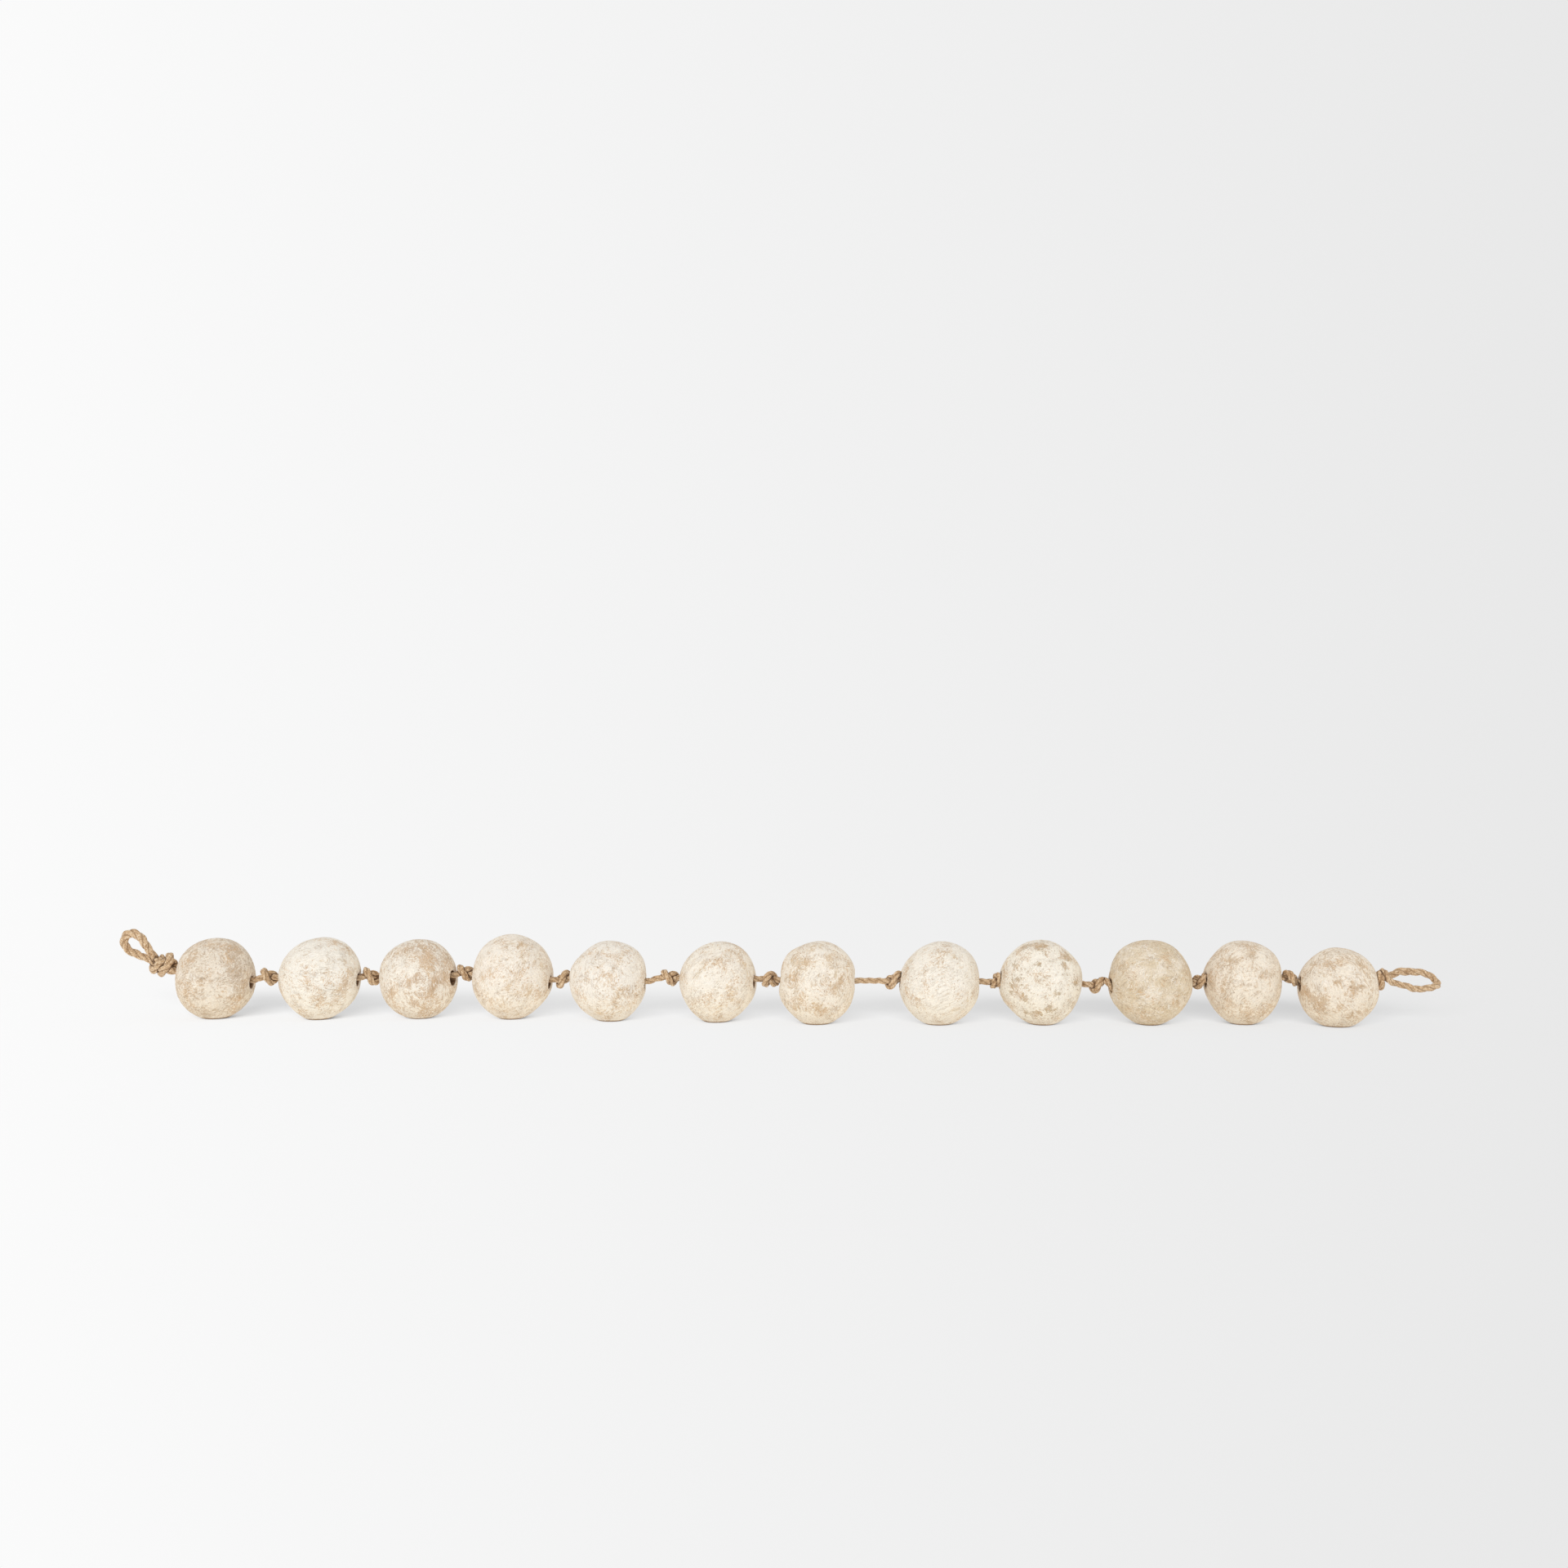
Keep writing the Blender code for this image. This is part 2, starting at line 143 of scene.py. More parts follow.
# The rope's thickness along the left loop, mm, from the upper leg round.
LEFT_LOOP_WIDE = (6.6, 7.6, 7.8, 7.9, 8.4, 8.9, 8.8, 8.4, 8.0, 8.0, 7.9, 7.8, 7.6, 7.4, 7.0, 6.6)
RIGHT_LOOP = (
    (566.2, 3.8, 45.1), (570.3, 4.2, 47.2), (574.1, 4.8, 48.5),
    (579.3, 5.4, 48.8), (584.5, 5.8, 48.4), (591.8, 6.2, 48.2),
    (596.1, 6.3, 47.3), (600.3, 6.0, 45.6), (604.0, 5.0, 42.9),
    (606.3, 2.8, 40.0), (606.6, -0.6, 38.0), (604.2, -4.0, 36.8),
    (601.0, -5.6, 36.2), (597.9, -6.4, 35.5), (593.5, -6.8, 34.7),
    (587.8, -6.8, 34.1), (583.6, -6.6, 34.5), (579.5, -6.2, 35.9),
    (575.3, -5.8, 37.2), (571.1, -5.4, 38.1), (566.4, -5.0, 39.1),
)
RIGHT_LOOP_WIDE = (
    6.0, 6.8, 7.6, 7.8, 6.9, 6.4, 6.3, 6.3, 6.2, 6.2, 6.2,
    6.3, 6.3, 6.3, 6.3, 6.3, 6.4, 6.3, 6.2, 6.0, 5.8,
)


# How each outline departs from an oval, in mm: a shift outward, then the sway
# along cosine and sine of once to six times the angle from the right.
OUTLINES = (
    (0.08, 1.13, -0.27, -0.43, 0.04, 0.35, 0.00, -0.28, -0.20, 0.18, -0.27, -0.02, -0.05),
    (0.10, 0.89, -0.02, 0.04, 0.17, -0.18, 0.06, 0.28, -0.18, -0.08, -0.40, -0.05, 0.14),
    (0.25, 1.20, -0.15, 0.00, -0.03, 0.13, 0.11, -0.14, -0.14, 0.24, -0.04, 0.05, -0.02),
    (0.06, 0.90, -0.19, -0.08, -0.04, 0.13, 0.00, 0.24, 0.28, 0.08, -0.31, -0.09, -0.01),
    (0.16, 0.53, -0.49, -0.09, -0.16, -0.04, -0.10, 0.16, 0.17, -0.23, -0.06, -0.19, -0.31),
    (0.22, 0.20, -0.38, 0.15, -0.15, -0.28, -0.15, 0.31, -0.39, -0.16, -0.25, 0.02, 0.00),
    (0.12, 0.75, -0.31, -0.55, -0.04, 0.28, 0.00, -0.14, 0.11, 0.08, -0.26, -0.34, 0.43),
    (0.16, -0.04, -0.39, -0.16, -0.19, -0.36, -0.01, 0.08, -0.05, -0.20, -0.07, -0.15, -0.15),
    (0.12, 0.06, -0.06, -0.16, -0.08, -0.10, -0.07, 0.58, 0.48, 0.08, 0.08, 0.06, 0.16),
    (0.18, 0.32, 0.10, -0.16, -0.14, 0.20, -0.10, -0.02, -0.02, 0.17, -0.47, 0.08, 0.12),
    (0.28, -0.05, -0.31, -0.10, -0.01, -0.33, -0.05, -0.04, 0.17, -0.42, -0.01, 0.03, -0.13),
    (0.10, -0.11, -0.30, -0.19, -0.06, -0.13, -0.05, 0.06, -0.13, -0.04, 0.03, -0.04, -0.24),
)


def rows(columns, table):
    return [dict(zip(columns, row)) for row in table]


balls = rows(BALL_COLUMNS, BALLS)
knots = rows(KNOT_COLUMNS, KNOTS)
for ball, outline in zip(balls, OUTLINES):
    ball["outline"] = outline


# ====================================================================== noise
def hashed(ix, iy, iz, seed):
    h = (ix * 374761393 + iy * 668265263 + iz * 2147483647 + seed * 1274126177) & 0xFFFFFFFF
    h = ((h ^ (h >> 13)) * 1274126177) & 0xFFFFFFFF
    h = ((h ^ (h >> 16)) * 2246822519) & 0xFFFFFFFF
    return ((h ^ (h >> 15)) & 0xFFFFFF) / float(0x7FFFFF) - 1.0


def noise(points, seed=0):
    """Smooth noise from -1 to 1 at (n, 3) points, one cell to a unit."""
    points = np.asarray(points, float)
    cell = np.floor(points).astype(np.int64)
    f = points - cell
    w = f * f * f * (f * (f * 6 - 15) + 10)
    total = 0.0
    for dx in (0, 1):
        wx = w[:, 0] if dx else 1 - w[:, 0]
        for dy in (0, 1):
            wy = w[:, 1] if dy else 1 - w[:, 1]
            for dz in (0, 1):
                wz = w[:, 2] if dz else 1 - w[:, 2]
                total = total + wx * wy * wz * hashed(
                    cell[:, 0] + dx, cell[:, 1] + dy, cell[:, 2] + dz, seed
                )
    return total


def fractal(points, seed=0, octaves=3, gain=0.5):
    total, size, reach = 0.0, 1.0, 0.0
    for k in range(octaves):
        total = total + size * noise(np.asarray(points) * 2.03**k + 17.3 * k, seed + k)
        reach += size
        size *= gain
    return total / reach


def rise(low, high, value):
    """0 below low, 1 above high and smooth between. High may be below low."""
    t = np.clip((value - low) / (high - low), 0.0, 1.0)
    return t * t * (3 - 2 * t)


# ====================================================================== balls
SIDES, BANDS = 200, 94


def skin(ball, n):
    """Distance from a ball's centre to its skin along (m, 3) unit directions."""
    lean = math.radians(ball["lean"])
    along = n[:, 0] * math.cos(lean) + n[:, 2] * math.sin(lean)
    short = ball["size"] - ball["squash"]
    tall = ball["size"] + ball["squash"]
    oval = 1.0 / np.sqrt((along / short) ** 2 + (1.0 - along * along) / tall**2)
    facing = np.hypot(n[:, 0], n[:, 2])
    angle = np.arctan2(n[:, 2], n[:, 0])
    turn = angle - math.radians(ball["at"])
    sway = ball["outline"][0] + ball["lobe"] * np.cos(3 * turn)
    for k in range(1, 7):
        sway = sway + ball["outline"][2 * k - 1] * np.cos(k * angle) + ball["outline"][2 * k] * np.sin(k * angle)
    return oval + sway * facing**3


def ball_centre(ball):
    return np.array([ball["x"], ball["y"] + ROW_SHIFT_Y, ball["z"]])


def hole_direction(ball, side):
    dy, dz = ball["right" if side > 0 else "left"]
    reach = ball["size"] - ball["squash"]
    return np.array([side * math.sqrt(reach**2 - dy**2 - dz**2), dy, dz]) / reach


def hole_at(ball, side):
    n = hole_direction(ball, side)
    return ball_centre(ball) + skin(ball, n[None])[0] * n


# What shows on each ball's near side, listed one by one: across and up from the
# middle of its outline in shares of its radius, reach, and how much more
# (positive) or less (negative) whitewash it has.
MARKS = (
    # 1: beige, browner upper right, pale blotches low in the middle
    ((.48, .66, .18, -.8), (.40, .42, .20, -.8), (.52, .04, .24, -.8), (.62, -.24, .18, -.5),
     (.14, .42, .09, -.7), (-.12, .76, .12, -.4), (.04, .28, .16, .8), (.0, -.44, .20, 1.0),
     (.16, -.22, .14, .5), (-.34, .08, .16, .3), (-.62, .30, .20, -.3), (-.50, -.42, .2, -.3),
     (.36, -.55, .16, -.3), (-.1, .1, .12, .4)),
    # 2: nearly white, tan on the right
    ((.66, .60, .15, -1.0), (.72, .08, .15, -1.0), (.46, -.30, .20, -.9), (.60, .34, .12, -.6),
     (.0, .36, .10, -.5), (-.24, -.10, .12, -.4), (-.56, -.52, .15, -.7), (.34, .86, .12, -.4),
     (.22, .10, .12, -.4), (-.10, -.38, .24, .8), (-.40, .40, .34, .6), (.1, .66, .2, .4),
     (.46, -.62, .2, -.5), (-.74, -.1, .14, -.3)),
    # 3: strong tan patches on white
    ((.28, .54, .26, -1.1), (-.28, .72, .12, -.8), (.46, -.06, .15, -1.2), (.0, .08, .11, -1.0),
     (-.22, -.10, .10, -1.0), (.26, -.36, .16, -.9), (-.08, -.60, .14, -.9), (-.66, -.32, .15, -.9),
     (.76, .44, .20, -.9), (.66, .10, .14, -.6), (.10, -.86, .2, -.8), (.06, .82, .2, -.6),
     (-.36, .44, .22, 1.1), (-.46, -.44, .18, .9), (-.08, -.26, .10, .9), (-.12, .26, .14, .9),
     (.16, .12, .09, .8), (-.7, .1, .18, .5), (.56, -.4, .14, .3)),
    # 4: cream with an even tan mottle
    ((.26, .74, .15, -.7), (.24, .48, .16, -.7), (.36, -.22, .15, -.8), (-.10, -.24, .12, -.8),
     (.46, -.42, .15, -.8), (.16, -.40, .12, -.6), (-.28, -.66, .16, -.7), (-.72, .02, .12, -.7),
     (.60, .30, .15, -.4), (-.6, -.4, .12, -.5), (.0, -.82, .2, -.4), (-.46, .58, .20, .7),
     (.06, .62, .10, .7), (-.34, -.40, .14, .9), (-.2, .1, .24, .6), (.1, -.62, .12, .6)),
    # 5: pale, a few specks, tan low on the right and below
    ((-.22, .32, .11, -.8), (-.06, .14, .11, -.8), (-.50, .30, .10, -.6), (.30, .60, .14, -.5),
     (.30, -.28, .15, -.7), (.18, -.44, .14, -.8), (-.34, -.74, .24, -.7), (-.54, .02, .08, -.8),
     (.0, -.9, .3, -.6), (.5, -.62, .16, -.5), (.30, .20, .30, .6), (-.44, -.28, .22, .7),
     (-.64, .30, .14, .7), (.5, .0, .2, .5)),
    # 6: cream, tan streaks curving down the right
    ((-.36, .32, .13, -.9), (-.52, .18, .13, -.8), (-.74, .36, .10, -.7), (.14, .54, .12, -.5),
     (.64, .42, .14, -.9), (.76, .06, .14, -.9), (.22, -.12, .13, -.9), (.32, -.34, .14, -.8),
     (.08, -.64, .14, -.8), (-.62, -.16, .12, -.6), (.5, -.5, .12, -.6), (-.3, -.55, .14, -.4),
     (-.05, .10, .22, .7), (.42, .18, .12, .5), (-.3, -.2, .18, .6), (.1, .78, .2, .4)),
    # 7: cream with grey-tan patches and specks
    ((-.52, .60, .13, -1.0), (-.34, .46, .19, -1.1), (-.56, .08, .14, -1.0), (.28, .58, .10, -1.3),
     (.42, .38, .13, -.9), (.60, .0, .15, -.9), (.46, -.18, .12, -.9), (-.42, -.42, .14, -.9),
     (.06, -.56, .15, -.9), (-.52, -.60, .14, -.8), (.72, .5, .14, -.6), (.0, .84, .16, -.5),
     (.14, .16, .10, -.5), (-.14, .12, .18, 1.0), (.30, -.42, .15, 1.0), (-.10, -.22, .16, .9),
     (.14, .70, .14, .7), (-.7, -.25, .16, .5)),
    # 8: pale, fine streaks rising to the right, tan upper left
    ((-.72, .56, .17, -1.0), (.33, .62, .05, -1.6), (.66, -.28, .13, -.9), (.66, -.46, .11, -.8),
     (-.82, -.18, .14, -.9), (.44, -.64, .16, -.6), (.44, .30, .14, -.3), (-.3, .8, .2, -.5),
     (-.5, -.6, .16, -.5), (.0, -.88, .24, -.6), (.0, .0, .40, .5), (-.25, .30, .25, .5),
     (.1, -.4, .25, .5), (.72, .2, .12, -.4)),
    # 9: white with jagged tan-grey patches
    ((-.36, .84, .13, -1.7), (.0, .84, .17, -1.7), (.65, .62, .15, -1.7), (.55, .38, .10, -1.7),
     (-.04, .43, .08, -1.4), (-.60, .38, .12, -1.2), (.84, -.02, .13, -1.3), (.58, .14, .07, -1.2),
     (-.68, -.07, .15, -1.3), (-.53, .08, .08, -1.2), (-.29, -.14, .07, -1.0), (.16, -.14, .05, -1.2),
     (.34, -.24, .09, -1.5), (-.08, -.74, .12, -1.6), (.23, -.60, .11, -1.6), (-.36, -.72, .10, -1.3),
     (-.43, -.40, .12, -.9), (.76, -.50, .14, -.9), (-.07, .05, .06, -1.0), (.12, .64, .06, -1.3),
     (.25, .2, .3, .8), (-.3, .3, .16, .7), (.1, -.38, .14, .8), (.55, -.12, .15, .6)),
    # 10: khaki-tan with pale flecks
    ((-.60, .52, .14, .8), (-.26, .24, .17, .9), (.28, .24, .15, .9), (.70, .46, .14, .9),
     (.04, -.34, .20, 1.1), (.52, -.32, .12, .7), (.74, -.50, .07, 1.5), (.0, .62, .16, .5),
     (-.2, .0, .12, .5), (-.70, .36, .13, -.7), (.48, .70, .16, -.7), (.36, .0, .14, -.7),
     (-.28, -.32, .14, -.6), (.1, .42, .1, -.6), (-.5, -.1, .16, -.5), (.3, -.65, .16, -.4)),
    # 11: beige-cream, pink-tan on the left, paler right
    ((-.52, .34, .17, -.9), (-.26, .52, .14, -.9), (.22, .66, .13, -.9), (-.80, .10, .16, -1.4),
     (-.74, -.12, .13, -1.1), (-.34, -.46, .15, -.8), (-.46, -.20, .12, -.8), (.50, .18, .15, -.8),
     (.70, .20, .12, -.7), (.1, -.72, .18, -.6), (.0, .86, .16, -.7), (.62, -.25, .20, 1.0),
     (.04, .18, .15, .8), (-.1, -.3, .16, .5), (.45, .50, .14, .6), (.28, -.45, .14, .6)),
    # 12: cream with tan mottle and swirls, browner lower left
    ((-.28, .58, .17, -1.0), (-.64, .54, .14, -.8), (.0, .13, .10, -1.0), (.54, .60, .15, -.9),
     (.40, .02, .13, -1.0), (-.50, -.43, .20, -1.3), (-.78, -.12, .16, -1.3), (-.32, -.32, .11, -1.0),
     (.12, -.46, .11, -.8), (.24, -.70, .15, -.7), (.76, .25, .14, -.7), (.15, .44, .16, .9),
     (-.48, .08, .14, 1.0), (-.06, -.10, .11, 1.0), (.50, -.36, .17, 1.0), (.1, -.26, .1, .8),
     (.34, .26, .1, .7)),
)


def near_side(ball):
    """The viewer's right, and the way to the viewer, at a ball."""
    to = np.array(CAMERA_AT) * 1000 - ball_centre(ball)
    to = to / np.linalg.norm(to)
    right = np.cross([0.0, 0.0, 1.0], -to)
    right = -right / np.linalg.norm(right)
    up = np.cross(right, -to)
    return right, up, to


def make_ball(number, ball):
    centre = ball_centre(ball)
    right, left = hole_direction(ball, 1), hole_direction(ball, -1)
    mouth = math.asin((HOLE_R + LIP) / ball["size"])
    turn = 2 * PI * np.arange(SIDES) / SIDES
    seed = 100 * number
    rim = fractal(np.stack([np.cos(turn) * 1.6 + 5, np.sin(turn) * 1.6, turn * 0 + number], 1), seed, 3)
    rings, ways = [], []
    for band in range(BANDS + 1):
        polar = mouth * (1 + 0.0 * rim) + (PI - 2 * mouth) * band / BANDS
        to_right = ((1 + np.cos(polar)) / 2) ** 2
        to_left = ((1 - np.cos(polar)) / 2) ** 2
        shift = (to_right[:, None] * (right - [1, 0, 0]) + to_left[:, None] * (left + [1, 0, 0]))
        n = np.stack([np.cos(polar), np.sin(polar) * np.cos(turn), np.sin(polar) * np.sin(turn)], 1)
        n = n + shift
        n /= np.linalg.norm(n, axis=1)[:, None]
        rings.append(centre + skin(ball, n)[:, None] * n)
        ways.append(n)
    rings, ways = np.array(rings), np.array(ways)

    # The pulp's relief: broad flats, dents, wrinkled scraps of paper and grain.
    flat = ways.reshape(-1, 3)
    at = flat * ball["size"] + 37.7 * number
    warp = np.stack([noise(at / 9.0 + k * 11.1, seed + 40 + k) for k in range(3)], 1)
    broad = 0.40 * noise(at / 17.0, seed + 1) + 0.12 * fractal(at / 8.0, seed + 2, 2)
    scrap = at / 5.2 + warp * 0.9
    edge = np.abs(noise(scrap, seed + 5)) + 0.5 * np.abs(noise(scrap * 1.9 + 4.4, seed + 6))
    wrinkle = 0.085 * (rise(0.0, 0.35, edge) - 1.0)
    grain = 0.075 * noise(at / 1.7 + warp * 0.6, seed + 8) + 0.05 * fractal(at / 3.4, seed + 9, 2)
    pit = -0.34 * rise(0.62, 0.86, noise(at / 2.4 + 3.3, seed + 12))
    relief = broad + wrinkle + grain + pit
    points = rings.reshape(-1, 3) + relief[:, None] * flat
    rings = points.reshape(rings.shape)

    # The torn lip and the wall of the hole.
    def lip(outer, inward, hole_r):
        middle = outer.mean(0)
        arm = outer - middle
        reach = np.linalg.norm(arm, axis=1)
        arm = arm / reach[:, None]
        out = []
        for step in (0.2, 0.45, 0.7, 1.0):
            q = step * PI / 2
            wall = hole_r * (1 + 0.06 * rim)
            r = reach + (wall - reach) * math.sin(q)
            out.append(middle + arm * r[:, None] + inward * LIP * (1.15 * (1 - math.cos(q)) + 0.15 * step))
        return out

    left_lip = lip(rings[BANDS], -left, MOUTHS[number - 1][0])
    right_lip = lip(rings[0], -right, MOUTHS[number - 1][1])
    tunnel = []
    for k in range(1, 18):
        w = k / 18
        ring = left_lip[-1] * (1 - w) + right_lip[-1] * w
        middle = ring.mean(0)
        rough = 1 + 0.05 * noise(np.stack([np.cos(turn) * 2 + 9, np.sin(turn) * 2, turn * 0 + 3.1 * k], 1), seed + 30)
        tunnel.append(middle + (ring - middle) * rough[:, None])
    inner = left_lip + tunnel + right_lip[::-1]
    every = np.concatenate([rings, np.array(inner)])
    every[..., 2] = np.maximum(every[..., 2], 0.0)

    # Paint masks.
    flat_z = every[: BANDS + 1, :, 2].ravel()
    across, up, to = near_side(ball)
    view = np.stack([flat @ across, flat @ up, flat @ to], 1)
    jag = np.stack([fractal(flat * 6 + 3 * k + number, seed + 60 + k, 3) for k in range(3)], 1)
    bent = view + 0.075 * jag
    wash = 0.30 * fractal(flat * 2.4 + number, seed + 70, 3)
    wash += rise(0.1, -0.5, view[:, 2]) * 0.75 * fractal(flat * 4.2 + 5.0 * number, seed + 74, 3)
    for a, b, reach, more in MARKS[number - 1]:
        spot = np.array([a, b, math.sqrt(max(0.02, 1 - a * a - b * b))])
        off = bent - spot / np.linalg.norm(spot)
        wash += more * np.exp(-np.einsum("ij,ij->i", off, off) / reach**2)
    # Painted shade: darker, warmer paint towards the bottom and at the left and right edges as seen from the camera.
    painted_limb_shade = 0.85 * rise(0.15, -0.95, flat[:, 2]) + 0.45 * rise(0.45, 1.0, view[:, 0]) + 0.16 * rise(-0.6, -1.0, view[:, 0])
    # Painted shade: a dark band just above the floor and a faint darkening low on the ball, where it meets the floor.
    painted_contact_shade = np.maximum(rise(2.0, 0.8, flat_z), 0.15 * rise(14.0, 1.5, flat_z))
    deep = np.clip(0.45 - 1.9 * (wrinkle + grain + pit), 0, 1)

    rest = len(inner) * SIDES
    # How far inside the hole: 0 on the outside, 1 on the wall. It sets the hole's bare brown paper, darkened further
    # as painted shade.
    lip_dark = np.repeat([0.0, 0.14, 0.45, 0.85], SIDES)
    hole = np.concatenate([np.zeros(len(flat)), lip_dark, np.ones(17 * SIDES), lip_dark[::-1]])
    near_mouth = np.zeros((BANDS + 1, SIDES))
    near_mouth[0] = near_mouth[-1] = 0.02
    hole[: len(flat)] = near_mouth.ravel()

    count = len(every)
    k = np.arange(count)[:, None]
    s = np.arange(SIDES)[None, :]
    k2, s2 = (k + 1) % count, (s + 1) % SIDES
    quads = np.stack([k * SIDES + s, k2 * SIDES + s, k2 * SIDES + s2, k * SIDES + s2], -1).reshape(-1, 4)
    name = f"paper_ball_{number:02d}"
    mesh = bpy.data.meshes.new(name)
    mesh.from_pydata((every.reshape(-1, 3) * MM).tolist(), [], quads.tolist())
    for label, values in (
        ("wash", np.concatenate([wash, np.zeros(rest)])),
        ("painted_limb_shade", np.concatenate([np.clip(painted_limb_shade, 0, 1), np.zeros(rest)])),
        ("deep", np.concatenate([deep, np.full(rest, 0.5)])),
        ("painted_contact_shade", np.concatenate([painted_contact_shade, np.zeros(rest)])),
        ("hole", hole),
    ):
        mesh.attributes.new(label, "FLOAT", "POINT").data.foreach_set("value", values.astype(np.float32))
    mesh.shade_smooth()
    obj = bpy.data.objects.new(name, mesh)
    bpy.context.scene.collection.objects.link(obj)
    return obj


# ================================================================= jute paths
def resample(points, spacing):
    points = np.asarray(points, float)
    run = np.concatenate([[0], np.cumsum(np.linalg.norm(np.diff(points, axis=0), axis=1))])
    count = max(3, int(round(run[-1] / spacing)) + 1)
    want = np.linspace(0, run[-1], count)
    return np.stack([np.interp(want, run, points[:, k]) for k in range(3)], 1)


def curve_through(points, fine=10):
    """A Catmull-Rom curve through (n, 3) points, evenly spread between them."""
    p = np.asarray(points, float)
    p = np.vstack([2 * p[0] - p[1], p, 2 * p[-1] - p[-2]])
    t = (np.arange(fine) / fine)[:, None]
    out = []
    for k in range(len(p) - 3):
        a, b, c, d = p[k:k + 4]
        out.append(0.5 * (2 * b + (c - a) * t + (2 * a - 5 * b + 4 * c - d) * t**2
                          + (3 * b - a - 3 * c + d) * t**3))
    out.append(p[-2][None])
    return np.vstack(out)


def open_overhand(reach, size):
    """A loose overhand knot whose ends run out along X."""
    t = np.linspace(-reach, reach, 4000)
    x, y, z = t**3 - 3 * t, t**4 - 4 * t**2, t**5 - 10 * t
    return np.stack([0.55 * z * size[0], 1.35 * (y + 2.0) * size[1], 1.35 * x * size[2]], 1)


def tighten(strands, contact, spacing, pull, steps, rest, stiff, slack, homes):
    """Draws a knot tight: pulls the strands' ends apart along X, keeping each
    strand's length and the room that it takes, until the turns bind or each
    strand has only its slack left."""
    count = [len(s) for s in strands]
    first = np.concatenate([[0], np.cumsum(count)])
    p = np.concatenate(strands).astype(float)
    total = len(p)
    owner = np.repeat(np.arange(len(count)), count)
    index = np.concatenate([np.arange(k) for k in count])
    i, j = np.triu_indices(total, 1)
    apart = (owner[i] != owner[j]) | (np.abs(index[i] - index[j]) * spacing > 1.55 * contact)
    i, j = i[apart], j[apart]
    for step in range(steps + rest):
        if step % 12 == 0:
            d = p[j] - p[i]
            near = np.einsum("ij,ij->i", d, d) < (contact + 0.45) ** 2
            ni, nj = i[near], j[near]
        spare = [
            spacing * (count[k] - 1) - (p[first[k + 1] - 1, 0] - p[first[k], 0])
            for k in range(len(count))
        ]
        pulled = []
        for k in range(len(count)):
            a, b = first[k], first[k + 1] - 1
            if step < steps and spare[k] > slack and spare[k] > max(spare) - 0.3:
                pulled.append(k)
                p[a, 0] -= pull
                p[b, 0] += pull
            p[a, 1:] += 0.02 * (np.asarray(homes[k][0]) - p[a, 1:])
            p[b, 1:] += 0.02 * (np.asarray(homes[k][1]) - p[b, 1:])
        worst = 0.0
        for _ in range(3):
            d = p[nj] - p[ni]
            dist2 = np.einsum("ij,ij->i", d, d)
            hit = dist2 < contact**2
            if hit.any():
                a, b = ni[hit], nj[hit]
                dist = np.sqrt(dist2[hit]) + 1e-9
                depth = contact - dist
                worst = depth.max()
                move = d[hit] * (0.5 * depth / dist)[:, None]
                hits = np.bincount(a, minlength=total) + np.bincount(b, minlength=total)
                push = np.stack([
                    np.bincount(b, move[:, axis], total) - np.bincount(a, move[:, axis], total)
                    for axis in range(3)
                ], 1)
                p += 1.4 * push / np.maximum(hits, 1)[:, None]
            for k in range(len(count)):
                s = p[first[k]:first[k + 1]]
                s[1:-1] += stiff * (0.5 * (s[:-2] + s[2:]) - s[1:-1])
                e = np.diff(s, axis=0)
                length = np.linalg.norm(e, axis=1)
                u = e / length[:, None]
                m = len(e)
                off = -np.einsum("ij,ij->i", u[:-1], u[1:])
                solve = np.diag(np.r_[1.0, np.full(m - 2, 2.0), 1.0] + 1e-6)
                solve += np.diag(off, 1) + np.diag(off, -1)
                force = np.linalg.solve(solve, length - spacing)[:, None] * u
                s[1:-1] += force[1:] - force[:-1]
        for k in pulled:
            s = p[first[k]:first[k + 1]]
            stretch = np.linalg.norm(np.diff(s, axis=0), axis=1).max() / spacing
            if worst > 0.1 * contact or stretch > 1.03:
                s[0, 0] += pull
                s[-1, 0] -= pull
    return [p[first[k]:first[k + 1]] for k in range(len(count))]


def single_overhand():
    loose = resample(open_overhand(2.02, (0.85, 0.85, 0.85)), 0.22)
    (tight,) = tighten([loose], 0.74, 0.22, 0.02, 760, 60, 0.08, 7.4, [((0, 0), (0, 0))])
    return tight * CORD_D


def double_overhand():
    loose = resample(open_overhand(1.99, (1.25, 2.0, 2.0)), 0.36)
    t = np.gradient(loose, axis=0)
    t /= np.linalg.norm(t, axis=1)[:, None]
    v, n = np.array((0.0, 0.0, 1.0)), np.zeros_like(t)
    for k in range(len(t)):
        v = v - t[k] * (v @ t[k])
        v = v / np.linalg.norm(v)
        n[k] = v
    a, b = resample(loose + 0.40 * n, 0.36), resample(loose - 0.40 * n, 0.36)
    m = min(len(a), len(b))
    tight = tighten(
        [a[:m], b[:m]], 0.78, 0.36, 0.05, 1500, 60, 0.06, 10.5,
        [((0.0, 0.42), (0.0, 0.42)), ((0.0, -0.42), (0.0, -0.42))],
    )
    return [s * CORD_D for s in tight]


def rolled(points, hand, tenths):
    """A knot in its other hand if hand is -1, then rolled about X."""
    a = 2 * PI * tenths / 10
    x, y, z = points[:, 0], points[:, 1], points[:, 2] * hand
    return np.stack([x, y * math.cos(a) - z * math.sin(a), y * math.sin(a) + z * math.cos(a)], 1)


def ease_ends(path, start, end, over):
    """Moves a path's ends to start and end, and less and less along it."""
    run = np.concatenate([[0], np.cumsum(np.linalg.norm(np.diff(path, axis=0), axis=1))])
    a = rise(over, 0.0, run)[:, None]
    b = rise(over, 0.0, run[-1] - run)[:, None]
    return path + a * (np.asarray(start) - path[0]) + b * (np.asarray(end) - path[-1])


